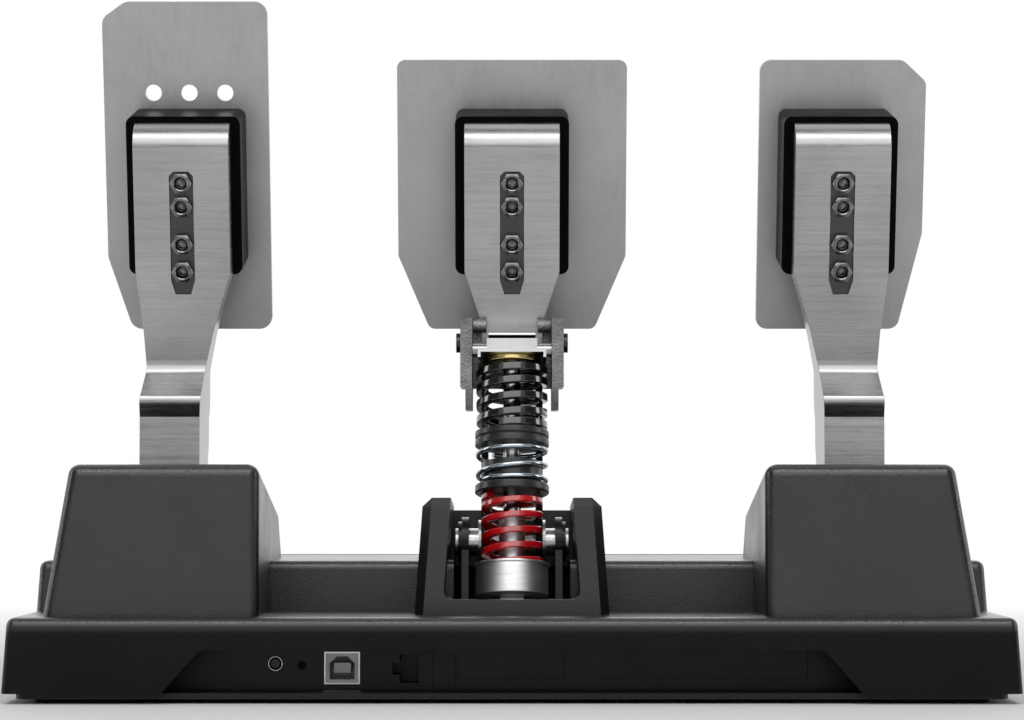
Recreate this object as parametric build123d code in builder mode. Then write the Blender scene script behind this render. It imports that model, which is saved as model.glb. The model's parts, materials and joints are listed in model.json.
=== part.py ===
from build123d import *
import math
import os

os.makedirs("parts", exist_ok=True)

# Millimetres. +X is the driver's right, +Y points away from the driver, +Z is up.
# The floor is Z = 0, and the driver's feet push the pedal plates towards +Y.

# Base
base_width = 338
base_depth = 270
base_rear_y = 135
base_bottom = 3.5
ledge_z = 28.6
deck_z = 46
deck_rear_y = 73
slope_top_y = -24
front_edge_z = 15
wall = 3
end_draft = 3
shell_round = 3
overrun = 400
fit_gap = 0.3

# Bottom plate and feet
feet_height = 1.5
plate_inset = 4
foot_length = 36
foot_width = 24
foot_inset = 6
foot_round = 5
rig_spacing_x = 270
rig_spacing_y = 190
rig_hole_r = 3.3

# Rear cut-out and connector panel
notch_bottom_half = 116
notch_top_half = 103
notch_top_z = 18
notch_round = 5
panel_y = 111
panel_thick = 2.5
panel_half = 118
panel_recess_depth = 1.2
panel_recess_low = 7
panel_recess_high = 16
panel_recess_a = (-18, 19)
panel_recess_b = (-100, -30)
rib_places = (20.4, 27.9)
rib_thick = 1.6
usb_x = 57.4
usb_z = 10.7
usb_width = 12.04
usb_height = 10.9
usb_depth = 16
usb_skin = 0.5
usb_corner = 2.4
usb_tongue_width = 5.6
usb_tongue_height = 3.2
usb_tongue_recess = 1.5
usb_back = 3
usb_proud = 0.6
usb_cavity_width = 8.5
usb_cavity_height = 7.8
jack_x = 35.9
jack_z = 10.5
jack_width = 11.9
jack_height = 11.2
jack_depth = 14
jack_cavity_width = 9.7
jack_cavity_height = 6.6
jack_cavity_depth = 10
jack_latch_width = 4
jack_latch_step = 2.4
button_x = 79.9
button_z = 12.2
button_r = 1.9
button_length = 5
button_proud = 0.8
button_flange_r = 2.6
button_flange = 0.8
button_travel = 0.5
button_clear = 0.06
led_x = 71
led_z = 11.5
led_r = 1.5
led_length = 5
board_thick = 1.6
board_low = 17
board_x = (25, 94)
board_y = (86, 108)
board_boss_r = 2.6
board_boss_inset = 4

# Towers of the outer pedals
pedal_margin = 51
tower_reach_in_top = 33.2
tower_reach_in_low = 33.4
tower_reach_out_top = 30.2
tower_reach_out_low = 38.8
tower_rear_y = 126
tower_rear_lean = 1.5
tower_top_z = 80.2
tower_top_front_y = 38
tower_top_front_z = 64
tower_front_y = 22
tower_round = 4
tower_wall = 2.5
slot_clear = 2
slot_front_y = 24
slot_rear_y = 65

# Brake housing
housing_rear_y = 111
housing_top_z = 68.3
housing_outer_top = 30.2
housing_outer_low = 33.1
housing_inner_top = 20.8
housing_inner_low = 23.4
housing_sill = 5
housing_front_wall_z = 64.5
housing_top_front_y = 30
housing_front_y = 20
housing_round = 3
housing_pocket_inset = 2.5
housing_pocket_front_y = 40
housing_front_wall = 5.5

# Footrest
footrest_side = 17
footrest_thick = 2.5
footrest_margin = 9
footrest_rib = 1.2
footrest_rib_pitch = 9
footrest_rib_width = 3
footrest_round = 8

# Pedal hinge
hinge_y = 46
hinge_z = 52
axle_r = 5
axle_clear = 0.05
bush_wall = 1.4
bush_flange = 1
bush_flange_r = 8
bush_clear = 0.03
washer_gap = 0.3
clip_thick = 1.2
clip_r = 7.4
clip_groove = 0.8
clip_inset = 1.4
bracket_plate = 2.5
bracket_base = 2.2
bracket_front_y = 4
bracket_rear_y = 64
bracket_head_r = 9
bracket_foot = 11
brake_bracket_half = 15.5
screw_r = 2
screw_head_r = 3.6
screw_head = 1.1
screw_inset = 5.5
screw_clear = 0.3
screw_length = 5
shell_boss_r = 4.5
shell_boss_side = 14
shell_boss_end = 37
shell_boss_middle_y = 0

# Pedal arms: bent steel channel
arm_skin = 2.5
web_thick = 3
lean = 14
web_y = 60
web_z = 165
arm_top_u = 36
arm_half = 17
arm_flange = 10
arm_straight_z = 149
arm_bend_z = 127.3
neck_z = 114.5
neck_left = 13.8
neck_right = 7.3
bend_left = 14.6
bend_right = 10.4
lever_left = 15.5
lever_right = 6
knuckle_y = 58.5
knuckle_z = 103
knuckle_left = 15.2
knuckle_right = 6.6
knuckle_low_z = 97
knuckle_round = 3
lever_rear_y = 54
lever_front_y = 21
lever_front_low_z = 88
lever_front_high_z = 100
hub_r = 8
hub_front_y = 37.5
web_low_z = 62
arm_top_round = 9
tail_z = 14
tail_front_y = 40
tail_plate = 3
tail_plate_height = 15
flare_z = 138
pocket_width = 8.5
pocket_depth = 1.2
pocket_low_u = -24.8
pocket_high_u = 19.6
pocket_foot_width = 5.4
pocket_foot_u = 5
pocket_head_u = 1.6

# Brake arm
brake_neck_z = 131
brake_half = 11
brake_web_low_z = 127.5
brake_rear_y = 51
brake_front_y = 24
brake_front_web_z = 119
brake_hub_front_y = 38

# Spacers, plates and their fasteners
spacer_width = 41
spacer_low_u = -19.2
spacer_high_u = 38.2
spacer_depth = 24
spacer_round = 3
tongue_low_u = -12
tongue_high_u = 26
tongue_clear = 0.3
plate_thick = 3
plate_low_u = -43.9
throttle_high_u = 77.2
brake_high_u = 56
throttle_half = 30.1
throttle_shift = -1.2
throttle_chamfer_x = 8.5
throttle_chamfer_u = 6
throttle_slant_x = 8.6
throttle_slant_u = 27
throttle_top_round = 4.7
face_hole_r = 3
face_hole_pitch = 13.1
face_hole_u = 44
brake_half_width = 42
brake_slant_x = 11.5
brake_slant_u = 27.5
brake_top_round = 3
clutch_half = 30.4
clutch_shift = 3
clutch_chamfer_x = 8.6
clutch_chamfer_u = 8
clutch_slant_x = 8.5
clutch_slant_u = 36
clutch_round = 4
plate_edge = 0.4
bolt_top_u = 15.6
bolt_high_u = 7.1
bolt_low_u = -6.5
bolt_foot_u = -16.4
bolt_r = 2
bolt_head_r = 3.8
bolt_head = 2.2
bolt_socket_r = 1.3
bolt_socket = 1.2
bolt_clear = 0.25
bolt_recess = 1.2
bolt_short = 2.2
nut_flats = 7
nut_height = 4
nut_clear = 0.05

# Return springs of the outer pedals
return_radius = 5
return_wire = 1.6
return_turns = 7
return_z = 22
return_gap = 0.2
return_stud_r = 3.6
return_stud = 6

# Brake yoke
yoke_ear_in = 14
yoke_ear_out = 18.2
yoke_high_z = 131.5
yoke_shoulder_z = 107
yoke_narrow_z = 99
yoke_front_y = 48
yoke_rear_y = 76
yoke_narrow_out = 16.4
yoke_lug_front_y = 36
yoke_lug_low_z = 112
yoke_lug_gap = 0.1
yoke_barrel_r = 2.5
yoke_barrel_in = 9.2
yoke_barrel_z = 129.6
yoke_barrel_gap = 0.5
yoke_round = 3
yoke_bridge_y = (52.2, 54.7)
yoke_bridge_z = (107, 118)
yoke_bolt_y = 43
yoke_bolt_z = 124
yoke_bolt_r = 2
yoke_bolt_head_r = 3.5
yoke_bolt_head = 2
yoke_sleeve_r = 3

# Brake spring stack, measured along its own axis from the cup pivot
pivot_y = 87
pivot_z = 25
stack_lean = 11.3
cup_low = 8
cup_high = 20.2
cup_r = 12.6
cup_rim_r = 13.2
cup_rim = 0.8
cup_bore_r = 11.4
cup_floor = 3
cup_chamfer = 1
cup_tongue_half = 4
cup_tongue_r = 5
guide_r = 4.6
guide_high = 36
rod_r = 3.1
rod_low = 18.5
rod_clear = 0.08
lower_washer_at = 45.2
lower_washer_thick = 3.1
washer_r = 13
lower_sleeve_r = 10.4
lower_sleeve = 8
upper_washer_at = 62.2
upper_washer_thick = 5.1
upper_washer_groove = 0.8
seat_thick = 2.2
seat_r = 10
seat_lip = 0.6
top_plate = 1
top_plate_half = 12
top_plate_flange = 1.9
trunnion_at = 97
block_half = 8.9
block_deep = 4.5
block_low = 94.6
block_high = 100.4
trunnion_r = 2.6
trunnion_reach = 17.6
trunnion_clear = 0.45
spring_end_gap = 0.15
black_radius = 11
black_radial = 3.2
black_axial = 2.7
black_turns = 4.5
red_radius = 9.2
red_radial = 3.2
red_axial = 2.2
red_turns = 6.75
zinc_radius = 11.9
zinc_wire = 1.8
zinc_turns = 2.75
quarters = 4

# Load cell and its fork
cell_half = 6
cell_low = 9
cell_high = 17
cell_front_y = 66
cell_rear_y = 104
cell_pad_y = 75
cell_slot_r = 2.6
cell_slot_half = 5
fork_half = 8.2
fork_gap = 0.25
fork_front_y = 80
fork_rear_y = 94
fork_base = 2
fork_head_r = 5
pin_r = 2
pin_clear = 0.05
pin_head = 1.2

# Sensors and leads
magnet_r = 4
magnet_thick = 2
magnet_y = 47
magnet_z = 33
sensor_thick = 1.6
sensor_front_y = 38
sensor_rear_y = 56
sensor_low_z = 24
sensor_high_z = 42
lead_r = 0.8
lead_offset = 0.4
lead_turn = 6
lead_low_z = 8
lead_step = 12
lead_end_run = 14
lead_throttle_x = 84
lead_clutch_x = 50
lead_cell_x = 44
lead_under_y = 96
lead_under_z = 6

tilt_sin = math.sin(math.radians(lean))
tilt_cos = math.cos(math.radians(lean))
stack_sin = math.sin(math.radians(stack_lean))
stack_cos = math.cos(math.radians(stack_lean))
half_width = base_width / 2
base_front_y = base_rear_y - base_depth
base_middle_y = base_rear_y - base_depth / 2
pedal_offset = half_width - pedal_margin
lever_centre = pedal_offset + (lever_left - lever_right) / 2
tower_inner_top = pedal_offset - tower_reach_in_top
tower_inner_low = pedal_offset - tower_reach_in_low
tower_outer_top = pedal_offset + tower_reach_out_top
tower_outer_low = pedal_offset + tower_reach_out_low
shell_boss_x = half_width - shell_boss_side
shell_boss_y = (base_front_y + shell_boss_end, shell_boss_middle_y, base_rear_y - shell_boss_end)
footrest_half = half_width - footrest_side
bolt_places = (bolt_top_u, bolt_high_u, bolt_low_u, bolt_foot_u)
lever_half = (lever_left + lever_right) / 2
outer_bracket_half = lever_half + bush_flange + washer_gap
tower_rear_top_y = tower_rear_y - tower_rear_lean
bush_r = axle_r + axle_clear + bush_wall
bracket_base_top = base_bottom + bracket_base
stack_plane = Plane(origin=(0, pivot_y, pivot_z), x_dir=(1, 0, 0), z_dir=(0, -stack_sin, stack_cos))


def pedal_plane(centre_x, behind=0):
    """The plane of a pedal's web, moved back by a distance. Its x points to -X, its y up the pedal."""
    web = Plane(origin=(centre_x, web_y, web_z), x_dir=(-1, 0, 0), z_dir=(0, tilt_cos, -tilt_sin))
    return web.offset(behind)


def block(xs, ys, zs, mode=Mode.ADD):
    """A box between two places on each axis."""
    with Locations(((xs[0] + xs[1]) / 2, (ys[0] + ys[1]) / 2, (zs[0] + zs[1]) / 2)):
        Box(abs(xs[1] - xs[0]), abs(ys[1] - ys[0]), abs(zs[1] - zs[0]), mode=mode)


def rod_along_x(xs, y, z, radius, mode=Mode.ADD):
    """A round bar along X."""
    with Locations(Location(((xs[0] + xs[1]) / 2, y, z), (0, 90, 0))):
        Cylinder(radius, abs(xs[1] - xs[0]), mode=mode)


def rod_along_y(ys, x, z, radius, mode=Mode.ADD):
    """A round bar along Y."""
    with Locations(Location((x, (ys[0] + ys[1]) / 2, z), (90, 0, 0))):
        Cylinder(radius, abs(ys[1] - ys[0]), mode=mode)


def rod_along_z(zs, x, y, radius, mode=Mode.ADD):
    """A round bar along Z."""
    with Locations((x, y, (zs[0] + zs[1]) / 2)):
        Cylinder(radius, abs(zs[1] - zs[0]), mode=mode)


def web_point(behind, up):
    """The Y and Z of a point given behind the web's rear face and up the pedal."""
    return (web_y + behind * tilt_cos + up * tilt_sin, web_z - behind * tilt_sin + up * tilt_cos)


def shell_skin_z(y):
    """The middle of the shell's top skin at a Y."""
    if y > deck_rear_y:
        return ledge_z - wall / 2
    if y > slope_top_y:
        return deck_z - wall / 2
    share = (y - base_front_y) / (slope_top_y - base_front_y)
    return front_edge_z - wall / 2 + share * (deck_z - front_edge_z)


def save(part, name):
    """Label a finished piece and write it."""
    part.label = name
    export_step(part, f"parts/{name}.step")


def coil_ends(radius, heights):
    """Points and tangents at every quarter turn of a coil about +Z."""
    ends = []
    last = len(heights) - 1
    for i, height in enumerate(heights):
        angle = 2 * math.pi * i / quarters
        before = max(i - 1, 0)
        after = min(i + 1, last)
        climb = (heights[after] - heights[before]) / (after - before) * quarters / (2 * math.pi)
        place = Vector(radius * math.cos(angle), radius * math.sin(angle), height)
        heading = Vector(-radius * math.sin(angle), radius * math.cos(angle), climb).normalized()
        ends.append((place, heading))
    return ends


def biarc_middle(start, start_heading, end, end_heading):
    """Where the two arcs of a biarc meet, and their common tangent there."""
    chord = end - start
    both = start_heading + end_heading
    spread = 2 * (1 - start_heading.dot(end_heading))
    along = chord.dot(both)
    reach = (-along + math.sqrt(along ** 2 + spread * chord.dot(chord))) / spread
    near = start + start_heading * reach
    far = end - end_heading * reach
    return (near + far) * 0.5, (far - near).normalized()


def coil(radius, low, high, turns, radial, axial=None):
    """One unbroken wire spring about +Z. Without an axial size the wire is round."""
    thickness = axial or radial
    first = low + thickness / 2
    climb = high - low - thickness
    steps = round(turns * quarters)
    heights = [first + climb * i / steps for i in range(steps + 1)]
    ends = coil_ends(radius, heights)
    print("coil", radius, "pitch", round(climb / turns, 2), "gap", round(climb / turns - thickness, 2))
    with BuildPart() as wire:
        with BuildLine() as path:
            for (start, leaving), (end, arriving) in zip(ends[:-1], ends[1:]):
                middle, heading = biarc_middle(start, leaving, end, arriving)
                TangentArc(start, middle, tangent=leaving)
                TangentArc(middle, end, tangent=heading)
        with BuildSketch(Plane(origin=ends[0][0], x_dir=(1, 0, 0), z_dir=ends[0][1])):
            if axial:
                Rectangle(radial, axial)
            else:
                Circle(radial / 2)
        if axial:
            middle_line = Edge.make_line((0, 0, heights[0]), (0, 0, heights[-1]))
            sweep(path=path.wires()[0], binormal=middle_line)
        else:
            sweep(path=path.wires()[0])
    return wire.part


# Base shell: one moulded cover, open below, with a low ledge at the rear and a raised deck in front
shell_side = [
    (base_rear_y, base_bottom),
    (base_rear_y, ledge_z),
    (deck_rear_y, ledge_z),
    (deck_rear_y, deck_z),
    (slope_top_y, deck_z),
    (base_front_y, front_edge_z),
    (base_front_y, base_bottom),
]
shell_inside = [
    (base_rear_y - wall, base_bottom - overrun),
    (base_rear_y - wall, ledge_z - wall),
    (deck_rear_y - wall, ledge_z - wall),
    (deck_rear_y - wall, deck_z - wall),
    (slope_top_y, deck_z - wall),
    (base_front_y + wall, front_edge_z - wall),
    (base_front_y + wall, base_bottom - overrun),
]
shell_front = [
    (-half_width, base_bottom),
    (-half_width + end_draft, deck_z),
    (half_width - end_draft, deck_z),
    (half_width, base_bottom),
]
shell_front_inside = [
    (-half_width + wall, base_bottom - overrun),
    (-half_width + wall, base_bottom),
    (-half_width + end_draft + wall, deck_z),
    (half_width - end_draft - wall, deck_z),
    (half_width - wall, base_bottom),
    (half_width - wall, base_bottom - overrun),
]
window_front_y = hinge_y - hub_r - tower_wall * 3
window_rear_y = lever_rear_y + tower_wall
window_half = outer_bracket_half + bracket_plate + clip_inset + clip_thick
brake_window_half = housing_inner_top - fit_gap
board_corners = [
    (x + math.copysign(board_boss_inset, sum(board_x) / 2 - x),
     y + math.copysign(board_boss_inset, sum(board_y) / 2 - y))
    for x in board_x for y in board_y
]
bracket_centres = {"throttle": lever_centre, "brake": 0, "clutch": -lever_centre}
bracket_halves = {"throttle": outer_bracket_half, "brake": brake_bracket_half, "clutch": outer_bracket_half}
bracket_ys = (bracket_front_y + screw_inset, bracket_rear_y - screw_inset)
screw_places = [(side * shell_boss_x, y) for side in (-1, 1) for y in shell_boss_y] + [
    (centre + side * (bracket_halves[name] + bracket_plate + bracket_foot - screw_inset), y)
    for name, centre in bracket_centres.items() for side in (-1, 1) for y in bracket_ys
]

with BuildPart() as shell_core:
    with BuildSketch(Plane.YZ):
        Polygon(*shell_inside, align=None)
    extrude(amount=overrun, both=True)
    with BuildSketch(Plane.XZ):
        Polygon(*shell_front_inside, align=None)
    extrude(amount=overrun, both=True, mode=Mode.INTERSECT)

with BuildPart() as base_shell:
    with BuildSketch(Plane.YZ):
        Polygon(*shell_side, align=None)
    extrude(amount=half_width, both=True)
    with BuildSketch(Plane.XZ):
        Polygon(*shell_front, align=None)
    extrude(amount=overrun, both=True, mode=Mode.INTERSECT)
    rounded = base_shell.edges().filter_by(lambda e: e.center().Z > base_bottom + fit_gap)
    inner_corner = base_shell.edges().filter_by(
        lambda e: abs(e.center().Y - deck_rear_y) < fit_gap and abs(e.center().Z - ledge_z) < fit_gap)
    fillet(rounded - inner_corner, radius=shell_round)
    add(shell_core.part, mode=Mode.SUBTRACT)
    with BuildSketch(Plane.XZ.offset(-base_rear_y + wall * 2)) as notch:
        Polygon((-notch_bottom_half, base_bottom - wall), (-notch_bottom_half, base_bottom),
                (-notch_top_half, notch_top_z), (notch_top_half, notch_top_z),
                (notch_bottom_half, base_bottom), (notch_bottom_half, base_bottom - wall), align=None)
        low = base_bottom + fit_gap
        fillet(notch.vertices().filter_by(lambda v: v.Z > low or v.Y > low),
               radius=notch_round)
    extrude(amount=-wall * 3, mode=Mode.SUBTRACT)
    for side in (-1, 1):
        block((side * lever_centre - window_half, side * lever_centre + window_half),
              (window_front_y, window_rear_y), (deck_z - wall * 2, deck_z + wall), mode=Mode.SUBTRACT)
    block((-brake_window_half, brake_window_half),
          (housing_front_y + housing_round * 3, housing_rear_y - wall * 3),
          (ledge_z - wall * 2, deck_z + wall), mode=Mode.SUBTRACT)
    for side in (-1, 1):
        for y in shell_boss_y:
            rod_along_z((base_bottom, shell_skin_z(y)), side * shell_boss_x, y, shell_boss_r)
            rod_along_z((base_bottom, shell_skin_z(y) - wall), side * shell_boss_x, y, screw_r + pin_clear,
                        mode=Mode.SUBTRACT)
    for x, y in board_corners:
        rod_along_z((board_low + board_thick, ledge_z - wall / 2), x, y, board_boss_r)
save(base_shell.part, "base_shell")

# Bottom plate: sheet steel with countersunk screws, and tapped places for a rig
with BuildPart() as bottom_plate:
    with BuildSketch(Plane.XY.offset(feet_height)):
        with Locations((0, base_middle_y)):
            RectangleRounded(base_width - 2 * plate_inset, base_depth - 2 * plate_inset, foot_round)
    extrude(amount=base_bottom - feet_height)
    with Locations((0, base_middle_y)):
        with GridLocations(rig_spacing_x, rig_spacing_y, 2, 2):
            rod_along_z((0, base_bottom * 2), 0, 0, rig_hole_r, mode=Mode.SUBTRACT)
    for x, y in screw_places:
        rod_along_z((0, base_bottom * 2), x, y, screw_r + screw_clear, mode=Mode.SUBTRACT)
        rod_along_z((feet_height, feet_height + screw_head), x, y, screw_head_r + screw_clear,
                    mode=Mode.SUBTRACT)
save(bottom_plate.part, "bottom_plate")

# Rubber feet: one pad under each corner and one in the middle of each long side
foot_x = half_width - plate_inset - foot_inset - foot_length / 2
foot_end = plate_inset + foot_inset / 2 + foot_width / 2
foot_rear_y = base_rear_y - foot_end
foot_front_y = base_front_y + foot_end
with BuildPart() as rubber_feet:
    with BuildSketch():
        with Locations(*[(x, y) for x in (-foot_x, foot_x) for y in (foot_front_y, foot_rear_y)],
                       (0, foot_front_y)):
            RectangleRounded(foot_length, foot_width, foot_round)
    extrude(amount=feet_height)
save(rubber_feet.part, "rubber_feet")

# Countersunk screws through the bottom plate, into the shell's bosses and the brackets' feet
with BuildPart() as base_screws:
    for x, y in screw_places:
        rod_along_z((feet_height, feet_height + screw_head), x, y, screw_head_r)
        rod_along_z((feet_height + screw_head, base_bottom + screw_length), x, y, screw_r)
save(base_screws.part, "base_screws")

# Footrest: a ribbed grip plate on the front slope
slope_length = math.hypot(slope_top_y - base_front_y, deck_z - front_edge_z)
slope_cos = (slope_top_y - base_front_y) / slope_length
slope_sin = (deck_z - front_edge_z) / slope_length
slope_plane = Plane(origin=((0, (slope_top_y + base_front_y) / 2, (deck_z + front_edge_z) / 2)),
                    x_dir=(1, 0, 0), z_dir=(0, -slope_sin, slope_cos))
footrest_length = slope_length - 2 * footrest_margin
rib_count = int(footrest_length / footrest_rib_pitch) - 1
with BuildPart() as footrest_plate:
    with BuildSketch(slope_plane):
        RectangleRounded(2 * footrest_half, footrest_length, footrest_round)
    extrude(amount=footrest_thick)
    with BuildSketch(slope_plane.offset(footrest_thick)):
        with GridLocations(0, footrest_rib_pitch, 1, rib_count):
            SlotOverall(2 * (footrest_half - footrest_round), footrest_rib_width)
    extrude(amount=footrest_rib)
save(footrest_plate.part, "footrest_plate")

# Tower covers of the outer pedals: hollow, open below, slotted in front for the lever
tower_side = [
    (tower_rear_y, ledge_z),
    (tower_rear_top_y, tower_top_z),
    (tower_top_front_y, tower_top_front_z),
    (tower_front_y, deck_z),
    (deck_rear_y, deck_z),
    (deck_rear_y, ledge_z),
]
tower_inside = [
    (tower_rear_y - tower_wall, ledge_z - overrun),
    (tower_rear_y - tower_wall, ledge_z),
    (tower_rear_top_y - tower_wall, tower_top_z - tower_wall),
    (tower_top_front_y + tower_wall / 2, tower_top_front_z - tower_wall),
    (tower_front_y + tower_wall, deck_z),
    (tower_front_y + tower_wall, deck_z - overrun),
]
tower_front = [
    (tower_inner_low, ledge_z),
    (tower_inner_top, tower_top_z),
    (tower_outer_top, tower_top_z),
    (tower_outer_low, ledge_z),
]
tower_front_inside = [
    (tower_inner_low + tower_wall, ledge_z),
    (tower_inner_top + tower_wall, tower_top_z),
    (tower_outer_top - tower_wall, tower_top_z),
    (tower_outer_low - tower_wall, ledge_z),
]

with BuildPart() as tower_core:
    with BuildSketch(Plane.YZ):
        Polygon(*tower_inside, align=None)
    extrude(amount=overrun)
    with BuildSketch(Plane.XZ):
        Polygon(*tower_front_inside, align=None)
    extrude(amount=overrun, both=True, mode=Mode.INTERSECT)

with BuildPart() as throttle_tower:
    with BuildSketch(Plane.YZ):
        Polygon(*tower_side, align=None)
    extrude(amount=overrun)
    with BuildSketch(Plane.XZ):
        Polygon(*tower_front, align=None)
    extrude(amount=overrun, both=True, mode=Mode.INTERSECT)
    outer_edges = throttle_tower.edges().filter_by(
        lambda e: e.center().Z > deck_z + fit_gap or (e.center().Z > ledge_z + fit_gap
                                                      and e.center().Y > deck_rear_y + fit_gap))
    fillet(outer_edges, radius=tower_round)
    add(tower_core.part, mode=Mode.SUBTRACT)
    block((lever_centre - lever_half - slot_clear, lever_centre + lever_half + slot_clear),
          (slot_front_y, slot_rear_y), (deck_z, tower_top_z), mode=Mode.SUBTRACT)
save(throttle_tower.part, "throttle_tower")

with BuildPart() as clutch_tower:
    mirror(throttle_tower.part, about=Plane.YZ)
save(clutch_tower.part, "clutch_tower")

# Brake housing: an open frame round the spring stack, with hollow side posts
housing_side = [
    (housing_rear_y, ledge_z),
    (housing_rear_y, housing_top_z),
    (housing_top_front_y, housing_front_wall_z),
    (housing_front_y, deck_z),
    (deck_rear_y, deck_z),
    (deck_rear_y, ledge_z),
]
housing_front = [
    (-housing_outer_low, ledge_z),
    (-housing_outer_top, housing_top_z),
    (housing_outer_top, housing_top_z),
    (housing_outer_low, ledge_z),
]
housing_channel = [
    (-housing_inner_low, ledge_z + housing_sill),
    (-housing_inner_top, housing_top_z),
    (-housing_inner_top, housing_top_z + overrun),
    (housing_inner_top, housing_top_z + overrun),
    (housing_inner_top, housing_top_z),
    (housing_inner_low, ledge_z + housing_sill),
]
housing_floor_front_y = housing_front_y + housing_front_wall * 2
with BuildPart() as brake_housing:
    with BuildSketch(Plane.YZ):
        Polygon(*housing_side, align=None)
    extrude(amount=half_width, both=True)
    with BuildSketch(Plane.XZ):
        Polygon(*housing_front, align=None)
    extrude(amount=overrun, both=True, mode=Mode.INTERSECT)
    outer_edges = brake_housing.edges().filter_by(
        lambda e: e.center().Z > deck_z + fit_gap or (e.center().Z > ledge_z + fit_gap
                                                      and e.center().Y > deck_rear_y + fit_gap))
    chamfer(outer_edges, length=housing_round)
    with BuildSketch(Plane.XZ.offset(-housing_floor_front_y)) as opening:
        Polygon(*housing_channel, align=None)
        fillet(opening.vertices().group_by(Axis.Z)[0], radius=housing_round)
    extrude(amount=-overrun, mode=Mode.SUBTRACT)
    block((-brake_window_half, brake_window_half), (housing_floor_front_y, housing_rear_y - wall * 3),
          (ledge_z - wall, deck_z + wall), mode=Mode.SUBTRACT)
    for side in (-1, 1):
        block((side * (housing_inner_low + housing_pocket_inset),
               side * (housing_outer_top - housing_pocket_inset)),
              (housing_pocket_front_y, housing_rear_y - housing_pocket_inset),
              (ledge_z - wall, housing_top_z - wall * 3), mode=Mode.SUBTRACT)
save(brake_housing.part, "brake_housing")

# Connector panel: a recessed moulded wall with sunk fields and ribs
with BuildPart() as connector_panel:
    block((-panel_half, panel_half), (panel_y - panel_thick, panel_y), (base_bottom, ledge_z - wall))
    for field in (panel_recess_a, panel_recess_b):
        block(field, (panel_y - panel_recess_depth, panel_y + wall), (panel_recess_low, panel_recess_high),
              mode=Mode.SUBTRACT)
    for place in rib_places:
        block((place - rib_thick / 2, place + rib_thick / 2), (panel_y, panel_y + rib_thick),
              (base_bottom, ledge_z - wall))
    block((usb_x - usb_width / 2 - pin_clear, usb_x + usb_width / 2 + pin_clear),
          (panel_y - wall, panel_y + wall),
          (usb_z - usb_height / 2 - pin_clear, usb_z + usb_height / 2 + pin_clear), mode=Mode.SUBTRACT)
    block((jack_x - jack_width / 2 - pin_clear, jack_x + jack_width / 2 + pin_clear),
          (panel_y - wall, panel_y + wall),
          (jack_z - jack_height / 2 - pin_clear, jack_z + jack_height / 2 + pin_clear), mode=Mode.SUBTRACT)
    rod_along_y((panel_y - wall, panel_y + wall), button_x, button_z, button_r + button_clear,
                mode=Mode.SUBTRACT)
    rod_along_y((panel_y - wall, panel_y + wall), led_x, led_z, led_r + pin_clear, mode=Mode.SUBTRACT)
save(connector_panel.part, "connector_panel")

# Socket for the computer lead: a bright shell round a dark insert with its tongue
usb_face_y = panel_y + usb_proud
usb_inner_width = usb_width - 2 * usb_skin
usb_inner_height = usb_height - 2 * usb_skin
with BuildPart() as usb_port_shell:
    with BuildSketch(Plane.XZ.offset(-usb_face_y)):
        with Locations((usb_x, usb_z)):
            Rectangle(usb_width, usb_height)
            Rectangle(usb_inner_width, usb_inner_height, mode=Mode.SUBTRACT)
    extrude(amount=usb_depth)
    block((usb_x - usb_width / 2, usb_x + usb_width / 2),
          (usb_face_y - usb_depth, usb_face_y - usb_depth + usb_skin),
          (usb_z - usb_height / 2, usb_z + usb_height / 2))
save(usb_port_shell.part, "usb_port_shell")

usb_cavity = [
    (usb_x - usb_cavity_width / 2, usb_z - usb_cavity_height / 2),
    (usb_x - usb_cavity_width / 2, usb_z + usb_cavity_height / 2 - usb_corner),
    (usb_x - usb_cavity_width / 2 + usb_corner, usb_z + usb_cavity_height / 2),
    (usb_x + usb_cavity_width / 2 - usb_corner, usb_z + usb_cavity_height / 2),
    (usb_x + usb_cavity_width / 2, usb_z + usb_cavity_height / 2 - usb_corner),
    (usb_x + usb_cavity_width / 2, usb_z - usb_cavity_height / 2),
]
with BuildPart() as usb_port_insert:
    with BuildSketch(Plane.XZ.offset(-usb_face_y + usb_skin)):
        with Locations((usb_x, usb_z)):
            Rectangle(usb_inner_width - 2 * pin_clear, usb_inner_height - 2 * pin_clear)
    extrude(amount=usb_depth - 2 * usb_skin)
    with BuildSketch(Plane.XZ.offset(-usb_face_y + usb_skin)):
        Polygon(*usb_cavity, align=None)
    extrude(amount=usb_depth - usb_back, mode=Mode.SUBTRACT)
    block((usb_x - usb_tongue_width / 2, usb_x + usb_tongue_width / 2),
          (usb_face_y - usb_depth + usb_skin, usb_face_y - usb_tongue_recess),
          (usb_z - usb_tongue_height / 2, usb_z + usb_tongue_height / 2))
save(usb_port_insert.part, "usb_port_insert")

# Socket for the other lead: lies on its side, latch towards +X
with BuildPart() as accessory_socket:
    block((jack_x - jack_width / 2, jack_x + jack_width / 2), (panel_y - jack_depth, panel_y),
          (jack_z - jack_height / 2, jack_z + jack_height / 2))
    block((jack_x - jack_cavity_height / 2 - jack_latch_step / 2,
           jack_x + jack_cavity_height / 2 - jack_latch_step / 2),
          (panel_y - jack_cavity_depth, panel_y + wall),
          (jack_z - jack_cavity_width / 2, jack_z + jack_cavity_width / 2), mode=Mode.SUBTRACT)
    block((jack_x, jack_x + jack_cavity_height / 2 + jack_latch_step / 2),
          (panel_y - jack_cavity_depth, panel_y + wall),
          (jack_z - jack_latch_width / 2, jack_z + jack_latch_width / 2), mode=Mode.SUBTRACT)
save(accessory_socket.part, "accessory_socket")

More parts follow.
